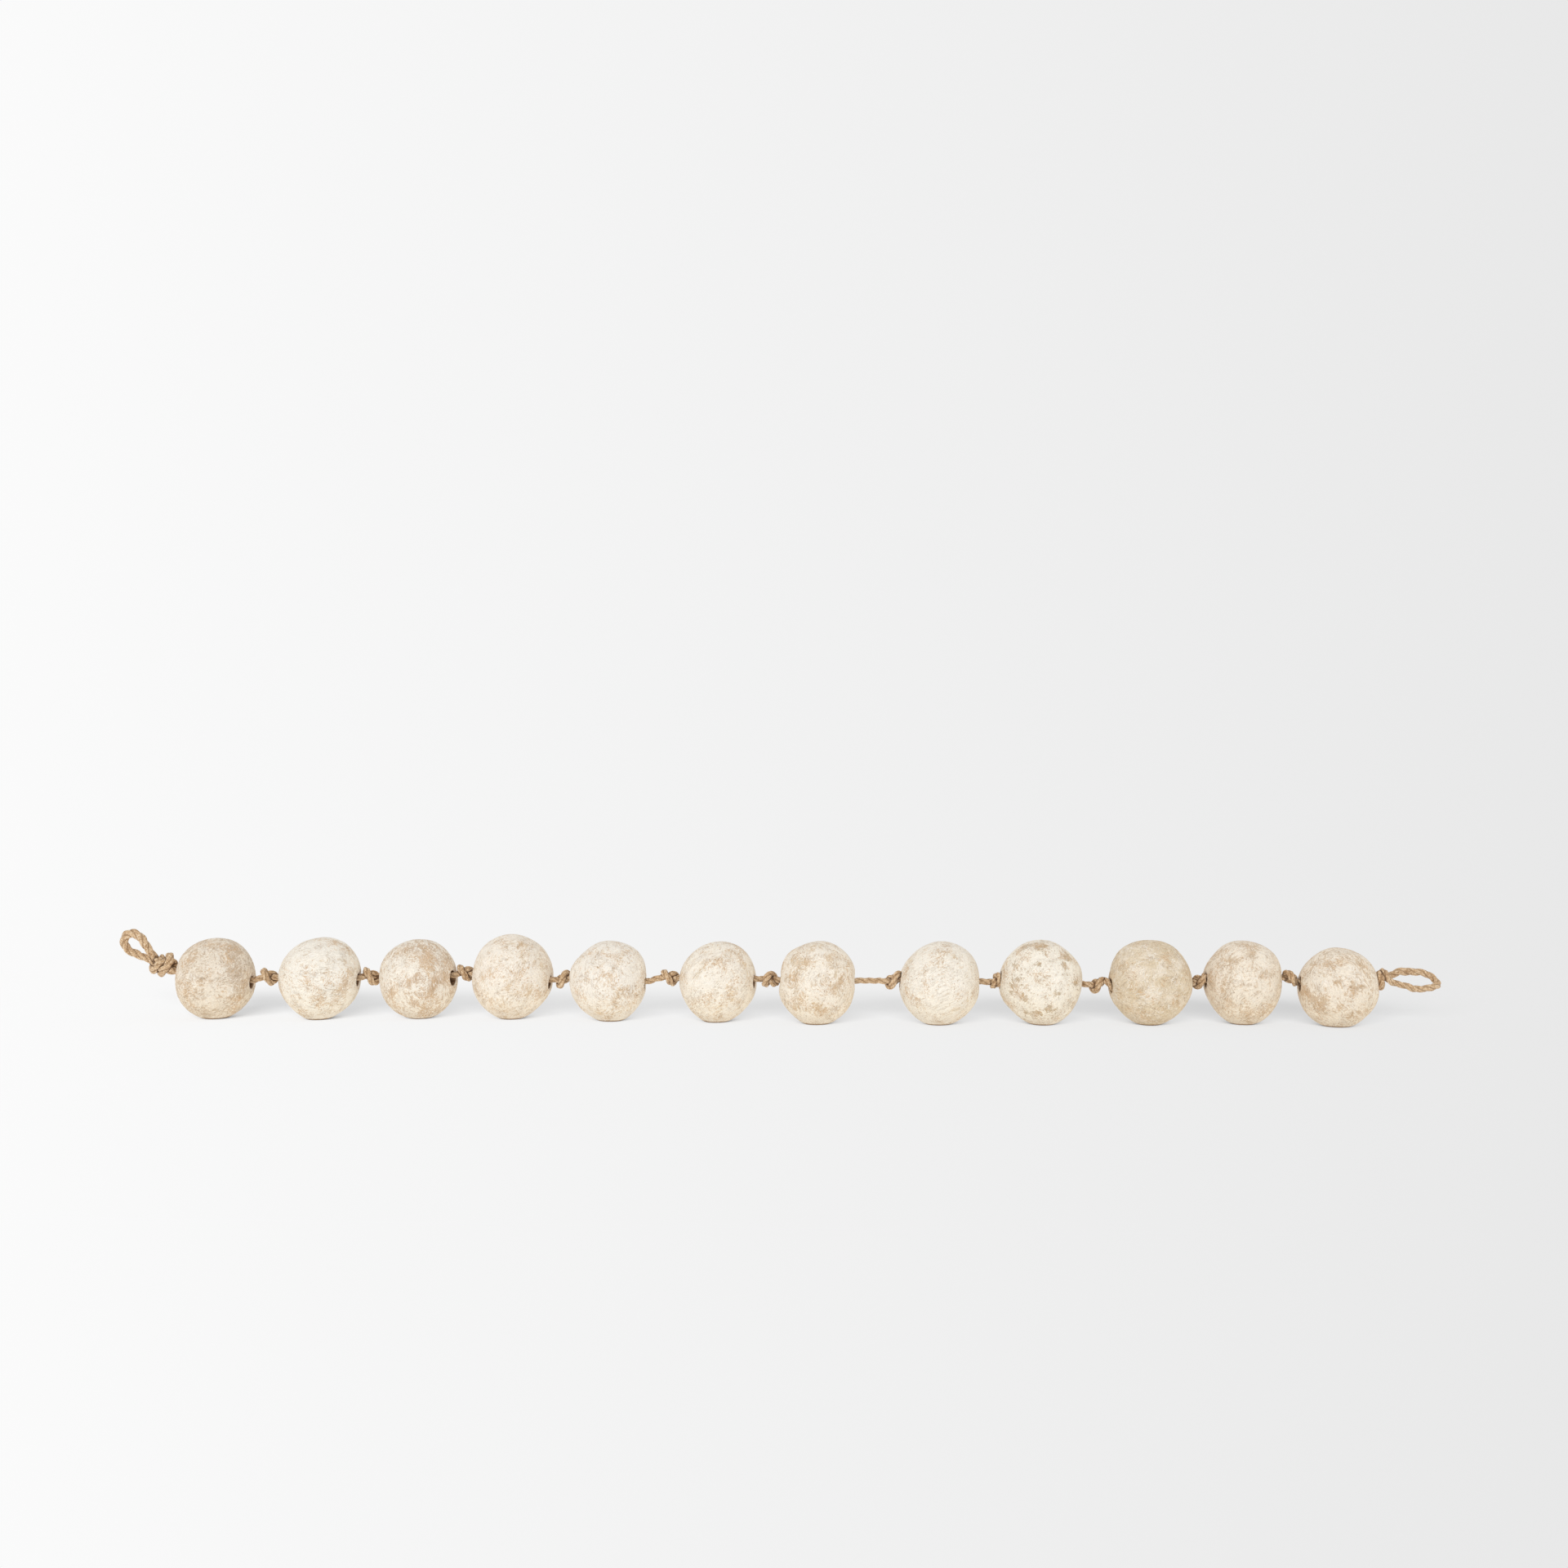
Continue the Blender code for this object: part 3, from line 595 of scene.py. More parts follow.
def overhand_between(tight, knot, lay, start, end, mouth, mouth_r):
    """The tight knot, fitted to a knot's place and size and, where it reaches
    into the next hole's mouth, drawn in to fit there."""
    seen_start, seen_end, hand, tenths, _ = lay
    p = curve_through(rolled(tight, hand, tenths), 4)
    # The turns are what lies off the straight run of the two leads.
    t = np.gradient(p, axis=0)
    t /= np.linalg.norm(t, axis=1)[:, None]
    turned = np.where(t[:, 0] < 0.55)[0]
    body = p[turned[0]:turned[-1] + 1]
    r = KNOT_D / 2
    low, high = body.min(0) - r, body.max(0) + r
    middle = (low + high) / 2
    wide = (seen_end - seen_start - 2 * r) / (high[0] - low[0] - 2 * r)
    tall = (knot["tall"] - 2 * r) / (high[2] - low[2] - 2 * r)
    stretch = np.array([np.clip(wide, 0.6, 1.5), 0.5 * (1 + np.clip(tall, 0.8, 1.2)), np.clip(tall, 0.8, 1.2)])
    place = np.array([(seen_start + seen_end) / 2, knot["y"] + ROW_SHIFT_Y, knot["z"]])
    p = (p - middle) * stretch + place
    a, b = turned[0], turned[-1]
    while a > 0 and p[a, 0] > start[0]:
        a -= 1
    while b < len(p) - 1 and p[b, 0] < end[0]:
        b += 1
    path = ease_ends(p[a:b + 1], start, end, 9.0)
    # Room shrinks from free, 5 mm before the mouth, to the hole's own width.
    room = 3.0 * MOUTH_FREE * rise(mouth[0] - 0.5, mouth[0] - 5.0, path[:, 0]) + mouth_r + 0.6 - r
    off = path[:, 1:] - mouth[1:]
    far = np.linalg.norm(off, axis=1) + 1e-9
    path[:, 1:] = mouth[1:] + off * np.minimum(1.0, room / far)[:, None]
    return path


def stretch_route(ball, mouth_radii, start, end):
    """From a knot on the left, through the ball's hole, to the knot on the
    right, kept inside the hole and drawn nearly straight."""
    left, right = hole_at(ball, -1), hole_at(ball, 1)

    def inside(mouth, hole_r, share):
        play = hole_r - CORD_D / 2 - 0.1
        line = start + (end - start) * share
        off = np.array([0, line[1] - mouth[1], line[2] - mouth[2]])
        far = np.linalg.norm(off)
        if far > play:
            off *= play / far
        return np.array([mouth[0], mouth[1] + off[1], mouth[2] + off[2]])

    reach = end[0] - start[0]
    a = inside(left, mouth_radii[0], (left[0] - start[0]) / reach)
    b = inside(right, mouth_radii[1], (right[0] - start[0]) / reach)
    route = [start, a] if a[0] - start[0] > 4.0 else [np.array([start[0], a[1], a[2]])]
    for share in (0.25, 0.5, 0.75):
        route.append(a + (b - a) * share)
    route += [b, end] if end[0] - b[0] > 4.0 else [np.array([end[0], b[1], b[2]])]
    return route


def shifted(table):
    return np.array(table, float) + [0.0, ROW_SHIFT_Y, 0.0]


# The whole cord is one path, from the tail in the first ball's hole to the
# tail in the last one's, in chunks: (name, points, radii).
single = single_overhand()
double = double_overhand()
chunks = []

first_mouth, last_mouth = hole_at(balls[0], -1), hole_at(balls[-1], 1)

# Left end: the doubled cord lies along a line from the ball up to the loop.
slope = math.radians(25.5)
left_middle = np.array([-561.2, -2.2 + ROW_SHIFT_Y, 47.4])
both = [rolled(s, -1, 5.6) for s in double]
span = np.concatenate(both)
off_axis = np.hypot(span[:, 1], span[:, 2]) > 5.5
mid_x = 0.5 * (span[off_axis, 0].min() + span[off_axis, 0].max())
mid_yz = 0.5 * (span[off_axis, 1:].min(0) + span[off_axis, 1:].max(0))


def lay_left(points):
    p = (points - [mid_x, mid_yz[0], mid_yz[1]]) * [1.62, 1.15, 1.2]
    x, z = p[:, 0], p[:, 2]
    turned = np.stack([
        x * math.cos(slope) + z * math.sin(slope), p[:, 1], -x * math.sin(slope) + z * math.cos(slope),
    ], 1)
    keep = (p[:, 0] > -18.5) & (p[:, 0] < 13.6)
    return curve_through(turned[keep] + left_middle, 4)


left_a, left_b = lay_left(both[0]), lay_left(both[1])
upper, lower = shifted(LEFT_LOOP)[0], shifted(LEFT_LOOP)[-1]
if left_a[0][2] < left_b[0][2]:
    left_a, left_b = left_b, left_a
# left_a ends as the upper leg, left_b as the lower one and goes on as the cord.
tail_in = first_mouth + np.array([13.0, 1.2, -1.6])
left_tail = ease_ends(left_a, upper, first_mouth + [1.0, 2.2, 2.4], 9.0)
left_tail = np.vstack([left_tail[::-1][:0], left_tail])
left_main = ease_ends(left_b, lower, first_mouth + [-1.0, -1.4, -1.2], 9.0)
tail_part = resample(curve_through(np.array([
    tail_in, first_mouth + [7.0, 1.9, 1.0], first_mouth + [1.0, 2.2, 2.4],
])), 0.8)
chunks.append(("knot_left", np.vstack([tail_part[:-1], left_tail[::-1]]), None))
chunks.append(("loop_left", curve_through(shifted(LEFT_LOOP)), LEFT_LOOP_WIDE))
chunks.append(("knot_left", left_main, None))

def in_hole(point, mouth, hole_r):
    """The point, moved into the hole if it is at or in its mouth."""
    off = point[1:] - mouth[1:]
    far = np.linalg.norm(off)
    play = hole_r - CORD_D / 2 - 0.2
    if abs(point[0] - mouth[0]) < 4.0 and far > play:
        point = point.copy()
        point[1:] = mouth[1:] + off * play / far
    return point


starts = [first_mouth + np.array([-1.0 + GAP, -1.4, -1.2])]
ends = []
for k, (knot, lay) in enumerate(zip(knots, KNOT_LAY)):
    y = knot["y"] + ROW_SHIFT_Y
    before, after = hole_at(balls[k], 1), hole_at(balls[k + 1], -1)
    ends.append(in_hole(np.array([lay[0], y, knot["z_in"]]), before, MOUTHS[k][1]))
    leave = np.array([lay[1], y, knot["z_out"] + lay[4]])
    starts.append(leave if lay[4] else in_hole(leave, after, MOUTHS[k + 1][0]))
ends.append(last_mouth + np.array([0.6, 0.6, 0.4]))
for number, (ball, start, end) in enumerate(zip(balls, starts, ends), 1):
    route = stretch_route(ball, MOUTHS[number - 1], start, end)
    route[0], route[-1] = start, end
    if number > 1 and KNOT_LAY[number - 2][4]:
        # The cord dives from the top of the knot to the foot of the hole.
        mouth = hole_at(ball, -1)
        route[1:2] = [mouth + [0.4, -1.4, 1.2], mouth + [3.4, -1.0, -2.2], mouth + [9.0, 0.0, -3.2]]
    chunks.append((f"cord_{number:02d}", curve_through(route, 24), None))
    if number <= len(knots):
        chunks.append((f"knot_{number:02d}", overhand_between(
            single, knots[number - 1], KNOT_LAY[number - 1], ends[number - 1], starts[number],
            hole_at(balls[number], -1), MOUTHS[number][0],
        ), None))

# Right end: one leg runs straight through, the other is wound round both.
wrap_middle = np.array([0.0, -0.8 + ROW_SHIFT_Y, 42.4])
right_loop = shifted(RIGHT_LOOP)
chunks.append(("knot_right", curve_through(np.array([
    last_mouth + [0.6, 0.6, 0.4], last_mouth + [4.0, 1.6, 0.9], last_mouth + [8.5, 3.6, 1.6], right_loop[0],
]), 12), None))
chunks.append(("loop_right", curve_through(right_loop), RIGHT_LOOP_WIDE))
WRAP = (
    # x, degrees from the top towards the viewer, distance from the middle
    (562.6, 104, 6.2), (560.4, 84, 7.0), (558.9, 54, 7.2), (557.9, 20, 7.0), (557.2, -16, 6.8),
    (556.6, -52, 6.7), (556.1, -90, 6.6), (555.7, -128, 6.7), (555.4, -164, 6.9), (555.2, -200, 7.1),
    (554.9, -236, 7.2), (554.6, -270, 7.0), (554.3, -304, 6.4), (553.9, -340, 5.4), (553.0, -380, 4.2),
    (550.0, -420, 3.4), (545.0, -440, 3.4), (540.0, -445, 3.6),
)
wound = [right_loop[-1]]
for x, degrees, reach in WRAP:
    a = math.radians(degrees)
    wound.append([x, wrap_middle[1] - reach * math.sin(a), wrap_middle[2] + reach * math.cos(a)])
chunks.append(("knot_right", curve_through(np.array(wound), 10), None))

# ------------------------------------------------- one path, smooth at joints
SPACING = 0.5
path_parts, radius_parts, owners = [], [], []
for name, points, wide in chunks:
    part = resample(points, SPACING)
    share = np.linspace(0, 1, len(part))
    if wide is None:
        thick = {"knot_left": 7.5, "knot_right": 6.3}.get(name, KNOT_D if name.startswith("knot") else CORD_D)
        radius = np.full(len(part), thick / 2)
    else:
        radius = np.interp(share, np.linspace(0, 1, len(wide)), np.array(wide) / 2)
    if path_parts:
        part, radius = part[1:], radius[1:]
    path_parts.append(part)
    radius_parts.append(radius)
    owners += [len(path_parts) - 1] * len(part)
path = np.vstack(path_parts)
radius = np.concatenate(radius_parts)
owners = np.array(owners)
joint = np.zeros(len(path))
for k in np.where(np.diff(owners) != 0)[0]:
    span = np.arange(max(0, k - 14), min(len(path), k + 15))
    joint[span] = np.maximum(joint[span], rise(14, 3, np.abs(span - k)))
for _ in range(160):
    mean = 0.5 * (path[:-2] + path[2:])
    path[1:-1] += 0.5 * joint[1:-1, None] * (mean - path[1:-1])
for _ in range(60):
    radius[1:-1] += 0.5 * (0.5 * (radius[:-2] + radius[2:]) - radius[1:-1])


# ======================================================================= rope
ROPE_SIDES = 33
PLY_OUT, PLY_R = 0.43, 0.58      # a ply's centre and radius, in rope radii
PITCH = 26.0                     # one turn of the three plies, mm


def transport(points):
    """Tangents, normals and binormals that don't twist along a path."""
    t = np.gradient(points, axis=0)
    t /= np.linalg.norm(t, axis=1)[:, None]
    n, v = np.zeros_like(t), np.array((0.0, 0.0, 1.0))
    for k in range(len(t)):
        v = v - t[k] * (v @ t[k])
        v = v / np.linalg.norm(v)
        n[k] = v
    return t, n, np.cross(t, n)


run = np.concatenate([[0], np.cumsum(np.linalg.norm(np.diff(path, axis=0), axis=1))])
tangent, normal, binormal = transport(path)
lay = 2 * PI * np.cumsum(np.concatenate([[0], np.diff(run) / (PITCH * (radius[1:] / 2.8) ** 0.5)]))
own = np.arange(ROPE_SIDES) * 2 * PI / ROPE_SIDES
from_crown = (own + PI / 3) % (2 * PI / 3) - PI / 3
profile = PLY_OUT * np.cos(from_crown) + np.sqrt(PLY_R**2 - (PLY_OUT * np.sin(from_crown)) ** 2)
crease_of = 1 - (profile - profile.min()) / (profile.max() - profile.min())
angle = lay[:, None] + own[None, :]
# Fibres run between the plies' slope and the rope's own direction.
fibre_angle = own[None, :] + 0.45 * lay[:, None]
fibre = np.stack([
    np.broadcast_to(run[:, None] / 5.0, fibre_angle.shape),
    np.cos(fibre_angle) * 3.1, np.sin(fibre_angle) * 3.1,
], -1)
flat_fibre = fibre.reshape(-1, 3)
ridges = (
    0.15 * noise(flat_fibre * [1.0, 1.3, 1.3], 501)
    + 0.10 * noise(flat_fibre * [2.1, 2.9, 2.9] + 9.1, 502)
).reshape(angle.shape)
slub = 1 + 0.045 * noise(np.stack([run / 7.0, run * 0, run * 0 + 3.3], 1), 503)
# Each ply swells and thins by itself.
ply = (np.arange(ROPE_SIDES) * 3 // ROPE_SIDES)
swell = np.stack([noise(np.stack([run / 6.0, run * 0 + 7.7 * k, run * 0], 1), 510 + k) for k in range(3)], 1)
size = radius[:, None] * slub[:, None] * profile[None, :] * (1 + 0.05 * swell[:, ply] * (1 - crease_of)[None, :])
size = size + ridges
rings = path[:, None, :] + size[..., None] * (
    np.cos(angle)[..., None] * normal[:, None, :] + np.sin(angle)[..., None] * binormal[:, None, :]
)


def crevice_of(picked):
    """How deep each vertex of the picked rings lies between turns, 0 to 1, for the painted shade in a knot's
    crevices.
    """
    deep = np.zeros((len(picked), ROPE_SIDES))
    cells = np.floor(path / 12.0).astype(int)
    for row, i in enumerate(picked):
        near = np.where(np.all(np.abs(cells - cells[i]) <= 1, 1))[0]
        near = near[np.abs(run[near] - run[i]) > 7.0][::2]
        if not len(near):
            continue
        gap = np.linalg.norm(rings[i][:, None, :] - path[near][None], axis=2) - radius[near][None]
        deep[row] = rise(1.5, -0.4, gap.min(1))
    return deep


def hair(base, out, along, length, bend, thick, segments=5):
    """A tapering loose fibre as a closed three-sided tube."""
    line = [base + out * (length * k / segments) * (1 - 0.35 * k / segments)
            + along * (length * (k / segments) ** 1.3) * bend for k in range(segments + 1)]
    line = np.array(line)
    t, n, b = transport(line)
    corners = [0.0, 2.1, 4.2]
    points, faces = [], []
    for k, at in enumerate(line[:-1]):
        r = thick * (1 - 0.75 * k / segments)
        for c in corners:
            points.append(at + r * (math.cos(c) * n[k] + math.sin(c) * b[k]))
    points.append(line[-1])
    for k in range(segments - 1):
        for c in range(3):
            d = (c + 1) % 3
            faces.append((3 * k + c, 3 * k + d, 3 * (k + 1) + d, 3 * (k + 1) + c))
    tip = len(points) - 1
    for c in range(3):
        faces.append((3 * (segments - 1) + c, 3 * (segments - 1) + (c + 1) % 3, tip))
    faces.append((2, 1, 0))
    return points, faces


def dice(k, salt):
    """A repeatable number from 0 to 1."""
    return 0.5 + 0.5 * float(hashed(np.array([k]), np.array([salt]), np.array([k * 7 + salt]), 900 + salt)[0])


def make_rope(name, spans, hairs_per_mm):
    """One piece of the rope from one or more spans of the path's indices."""
    points, faces, crease, crevice_shade, strands = [], [], [], [], []
    for low, high in spans:
        picked = np.arange(low, high + 1)
        # Inside a ball nobody sees it, so every third ring is enough there.
        hidden = np.zeros(len(picked), bool)
        for ball in balls:
            hidden |= np.abs(path[picked, 0] - ball["x"]) < ball["size"] - 9
        picked = picked[~hidden | (np.arange(len(picked)) % 4 == 0) | (picked == low) | (picked == high)]
        base = len(points)
        part = rings[picked]
        m = len(part)
        points += part.reshape(-1, 3).tolist()
        strands.append(fibre[picked].reshape(-1, 3))
        crease.append(np.tile(crease_of, m))
        crevice_shade.append(crevice_of(picked).ravel() if "knot" in name else np.zeros(m * ROPE_SIDES))
        a = np.arange(m - 1)[:, None] * ROPE_SIDES + np.arange(ROPE_SIDES)[None, :]
        nxt = np.arange(m - 1)[:, None] * ROPE_SIDES + ((np.arange(ROPE_SIDES) + 1) % ROPE_SIDES)[None, :]
        quads = np.stack([a, nxt, nxt + ROPE_SIDES, a + ROPE_SIDES], -1).reshape(-1, 4) + base
        faces += quads.tolist()
        faces.append([base + k for k in range(ROPE_SIDES)][::-1])
        faces.append([base + (m - 1) * ROPE_SIDES + k for k in range(ROPE_SIDES)])
        # Loose fibres where it shows.
        if hairs_per_mm > 0:
            total = int((run[high] - run[low]) * hairs_per_mm)
            for k in range(total):
                salt = low * 13 + k
                i = low + int(dice(salt, 1) * (high - low))
                x = path[i, 0]
                if any(abs(x - ball["x"]) < ball["size"] - 4 for ball in balls):
                    continue
                side = int(dice(salt, 2) * ROPE_SIDES) % ROPE_SIDES
                surface = rings[i, side]
                out = surface - path[i]
                out = out / np.linalg.norm(out)
                swing = normal[i] * (dice(salt, 3) - 0.5) + binormal[i] * (dice(salt, 4) - 0.5)
                way = 1 if dice(salt, 5) > 0.35 else -1
                length = 0.8 + 1.5 * dice(salt, 6) ** 2
                got, cells = hair(
                    surface - out * 0.25, (out + 0.7 * swing) / 1.2, tangent[i] * way + 0.6 * swing,
                    length, 0.9 + 0.9 * dice(salt, 7), 0.055 + 0.035 * dice(salt, 8),
                )
                start = len(points)
                points += [list(map(float, q)) for q in got]
                faces += [[start + v for v in cell] for cell in cells]
                strands.append(np.repeat(fibre[i, side][None], len(got), 0))
                crease.append(np.zeros(len(got)))
                crevice_shade.append(np.zeros(len(got)))
    mesh = bpy.data.meshes.new(name)
    mesh.from_pydata((np.array(points) * MM).tolist(), [], faces)
    mesh.attributes.new("crease", "FLOAT", "POINT").data.foreach_set(
        "value", np.concatenate(crease).astype(np.float32))
    mesh.attributes.new("crevice_shade", "FLOAT", "POINT").data.foreach_set(
        "value", np.concatenate(crevice_shade).astype(np.float32))
    mesh.attributes.new("fibre", "FLOAT_VECTOR", "POINT").data.foreach_set(
        "vector", np.concatenate(strands).astype(np.float32).ravel())
    mesh.shade_smooth()
    mesh.set_sharp_from_angle(angle=math.radians(75))
    obj = bpy.data.objects.new(name, mesh)
    bpy.context.scene.collection.objects.link(obj)
    return obj


# ================================================================== materials
def srgb(r, g, b, light=1.0):
    out = []
    for c in (r, g, b):
        c /= 255
        out.append(light * (c / 12.92 if c <= 0.04045 else ((c + 0.055) / 1.055) ** 2.4))
    return (*out, 1.0)


class Nodes:
    """Adds nodes to a material and links them."""

    def __init__(self, name):
        self.material = bpy.data.materials.new(name)
        self.material.use_nodes = True
        self.tree = self.material.node_tree
        self.tree.nodes.clear()

    def add(self, kind, values=None, **settings):
        node = self.tree.nodes.new(kind)
        for key, value in settings.items():
            setattr(node, key, value)
        for key, value in (values or {}).items():
            self.put(node.inputs[key], value)
        return node

    def put(self, socket, value):
        if isinstance(value, bpy.types.NodeSocket):
            self.tree.links.new(value, socket)
        else:
            socket.default_value = value

    def attribute(self, name, output="Fac"):
        return self.add("ShaderNodeAttribute", attribute_name=name).outputs[output]

    def math(self, operation, a, b=0.0, c=0.0, clamp=False):
        node = self.add("ShaderNodeMath", operation=operation, use_clamp=clamp)
        for socket, value in zip(node.inputs, (a, b, c)):
            self.put(socket, value)
        return node.outputs[0]

    def total(self, *terms):
        out = terms[0]
        for term in terms[1:]:
            out = self.math("ADD", out, term)
        return out

    def step(self, value, low, high, to_low=0.0, to_high=1.0):
        node = self.add("ShaderNodeMapRange", {
            "Value": value, "From Min": low, "From Max": high, "To Min": to_low, "To Max": to_high,
        }, interpolation_type="SMOOTHSTEP")
        return node.outputs[0]

    def mix(self, factor, a, b, blend="MIX"):
        node = self.add("ShaderNodeMix", data_type="RGBA", blend_type=blend)
        self.put(node.inputs[0], factor)
        self.put(node.inputs[6], a)
        self.put(node.inputs[7], b)
        return node.outputs[2]

    def noise(self, vector, scale, detail=3.0, roughness=0.55, distortion=0.0):
        node = self.add("ShaderNodeTexNoise", {
            "Vector": vector, "Scale": scale, "Detail": detail,
            "Roughness": roughness, "Distortion": distortion,
        })
        return node.outputs[0]

    def mapped(self, vector, location=(0, 0, 0), rotation=(0, 0, 0), scale=(1, 1, 1)):
        return self.add("ShaderNodeMapping", {
            "Vector": vector, "Location": location, "Rotation": rotation, "Scale": scale,
        }).outputs[0]


LIGHT = 0.965       # paint as bright as a photographed tone divided by the light on it

# Each ball's whitewash and the tan paper under it (as photographed tones), how
# much is covered, how strong the mottle is, its brush strokes' slope in the
# picture in degrees and strength, how many specks it has, and how sharp the
# wash's edges are.
PAINT = (
    ((241, 229, 211), (210, 189, 164), 0.12, 1.00, 20, 0.3, 0.8, 1.0),
    ((250, 243, 230), (229, 209, 182), 0.48, 0.80, -20, 0.4, 0.5, 1.0),
    ((248, 239, 224), (219, 197, 172), 0.20, 1.05, 95, 0.5, 0.4, 1.4),
    ((250, 240, 225), (231, 211, 184), 0.34, 0.90, 50, 0.4, 0.5, 1.0),
    ((250, 242, 229), (233, 213, 186), 0.45, 0.80, 120, 0.3, 0.8, 1.0),
    ((251, 242, 227), (236, 218, 191), 0.44, 0.70, 35, 0.9, 0.4, 1.0),
    ((250, 240, 224), (226, 206, 178), 0.36, 1.00, 60, 0.3, 0.9, 1.3),
    ((252, 244, 230), (235, 217, 190), 0.66, 0.38, 28, 1.9, 0.2, 1.0),
    ((251, 243, 228), (209, 191, 165), 0.72, 1.20, 40, 0.2, 0.4, 2.4),
    ((239, 225, 204), (224, 206, 177), -0.18, 0.55, 15, 0.2, 0.4, 1.0),
    ((247, 235, 217), (221, 200, 174), 0.22, 0.90, 55, 0.4, 0.6, 1.0),
    ((247, 235, 217), (218, 195, 167), 0.24, 0.95, 120, 0.6, 0.5, 1.2),
)


def paper_material(number):
    wash, bare, cover, mottle, slope, strokes, specks, sharp = PAINT[number - 1]
    m = Nodes(f"whitewashed_paper_{number:02d}")
    where = m.add("ShaderNodeTexCoord").outputs["Object"]
    where = m.mapped(where, (0.137 * number, 0.071 * number, 0.219 * number), (0, 0, 0), (1, 1, 1))
    mm = m.mapped(where, scale=(1000, 1000, 1000))
    marks = m.attribute("wash")

    def about(value, share):
        return m.math("MULTIPLY", m.math("SUBTRACT", value, 0.5), share)

    def either(which, one, two):
        return m.math("ADD", one, m.math("MULTIPLY", which, m.math("SUBTRACT", two, one)))

    # Brushed and torn fibres run in bending directions, two at a time.
    drift = m.add("ShaderNodeTexNoise", {"Vector": mm, "Scale": 0.05, "Detail": 1.0}).outputs["Color"]
    drift = m.add("ShaderNodeVectorMath", {0: drift, 1: (0.5, 0.5, 0.5)}, operation="SUBTRACT").outputs[0]
    drift = m.add("ShaderNodeVectorMath", {0: drift, "Scale": 22.0 - 9.0 * strokes}, operation="SCALE").outputs[0]
    bent = m.add("ShaderNodeVectorMath", {0: mm, 1: drift}, operation="ADD").outputs[0]
    one_way = m.mapped(bent, rotation=(0, math.radians(slope), 0))
    other_way = m.mapped(bent, (5.0, 3.0, 9.0), (math.radians(25), math.radians(slope + 70), 0))
    which = m.step(m.noise(mm, 0.11, 2, 0.5, 0.6), 0.44 + 0.10 * min(strokes, 1.5), 0.54 + 0.10 * min(strokes, 1.5))

    def fibres(thin, long, detail, rough):
        sides = [
            m.noise(m.mapped(way, scale=(long, 1.0, 1.0)), thin, detail, rough, 0.35)
            for way in (one_way, other_way)
        ]
        return either(which, sides[0], sides[1])

    # Where the wash is worn through to the paper, with torn edges.
    patch = m.noise(mm, 0.11, 4, 0.62, 0.9)
    pulp = m.noise(mm, 0.34, 3, 0.65, 1.4)
    torn = fibres(0.46, 0.34, 3, 0.62)
    fine = fibres(0.86, 0.20, 2, 0.6)
    stroke = m.noise(m.mapped(one_way, scale=(0.10, 0.7, 1.2)), 0.50, 3, 0.62, 0.3)
    cover_by = m.total(
        m.math("MULTIPLY", marks, 0.40 + 0.28 * sharp), about(patch, 1.7 * mottle), about(pulp, 1.5 * mottle),
        about(torn, 3.3 * mottle), about(fine, 1.5 * mottle), about(stroke, 2.2 * strokes), cover,
    )
    covered = m.step(cover_by, -0.44 / sharp, 0.32 / sharp)
    colour = m.mix(covered, srgb(*bare, LIGHT), srgb(*wash, LIGHT))
    worn = m.step(cover_by, -0.55, -1.35)
    colour = m.mix(m.math("MULTIPLY", worn, 0.4), colour, srgb(*[c * k for c, k in zip(bare, (0.94, 0.90, 0.85))], LIGHT))

    # Clusters of fine tan flecks in the wash.
    region = m.noise(mm, 0.065, 2, 0.5, 0.4)
    fleck = m.noise(m.mapped(bent, (3.1, 8.7, 5.5), (0, math.radians(slope + 20), 0)), 0.60, 2, 0.62, 1.2)
    fleck = m.total(fleck, about(region, 0.75), m.math("MULTIPLY", marks, -0.06), 0.03 * (mottle - 1.0))
    fleck = m.step(fleck, 0.56, 0.66)
    colour = m.mix(m.math("MULTIPLY", fleck, 0.70), colour, srgb(212, 178, 138, LIGHT))

    # Threads of wash left on the worn paper, and fine torn-fibre lines.
    pale_at = fibres(0.40, 0.38, 2, 0.6)
    thin = 0.032 if cover > 0 else 0.042
    pale = m.step(m.math("ABSOLUTE", m.math("SUBTRACT", pale_at, 0.5)), thin, 0.3 * thin)
    pale_more = m.math("MAXIMUM", m.step(m.noise(mm, 0.09, 2, 0.5), 0.40, 0.60), m.step(worn, 0.0, 0.6))
    colour = m.mix(m.math("MULTIPLY", m.math("MULTIPLY", pale, pale_more), 0.75 if cover > 0 else 0.95), colour, srgb(*[c + (255 - c) * 0.40 for c in wash], LIGHT))
    brushed = strokes > 1
    lines_at = m.noise(
        m.mapped(one_way, (2.0, 7.0, 4.0), scale=(0.03, 1.6, 1.6) if brushed else (0.30, 1.0, 1.1)),
        0.26, 3, 0.6, 0.2 if brushed else 0.8,
    )
    line = m.step(m.math("ABSOLUTE", m.math("SUBTRACT", lines_at, 0.5)), 0.024 if brushed else 0.020, 0.006)
    line = m.math("MULTIPLY", line, m.step(m.noise(mm, 0.10, 2, 0.5), 0.28 if brushed else 0.42, 0.60))
    colour = m.mix(m.math("MULTIPLY", line, 0.40 if brushed else 0.60), colour, srgb(202, 168, 130, LIGHT))

    # Specks and pinholes.
    cells = m.add("ShaderNodeTexVoronoi", {"Vector": mm, "Scale": 0.36, "Randomness": 1.0})
    chance = m.add("ShaderNodeSeparateColor", {"Color": cells.outputs["Color"]}).outputs[0]
    speck = m.math("MULTIPLY", m.step(cells.outputs["Distance"], 0.30, 0.14),
                   m.step(m.math("ADD", chance, m.math("MULTIPLY", region, 0.7)), 1.24 - 0.18 * specks, 1.28 - 0.18 * specks))
    colour = m.mix(m.math("MULTIPLY", speck, 0.65), colour, srgb(186, 152, 118, LIGHT))
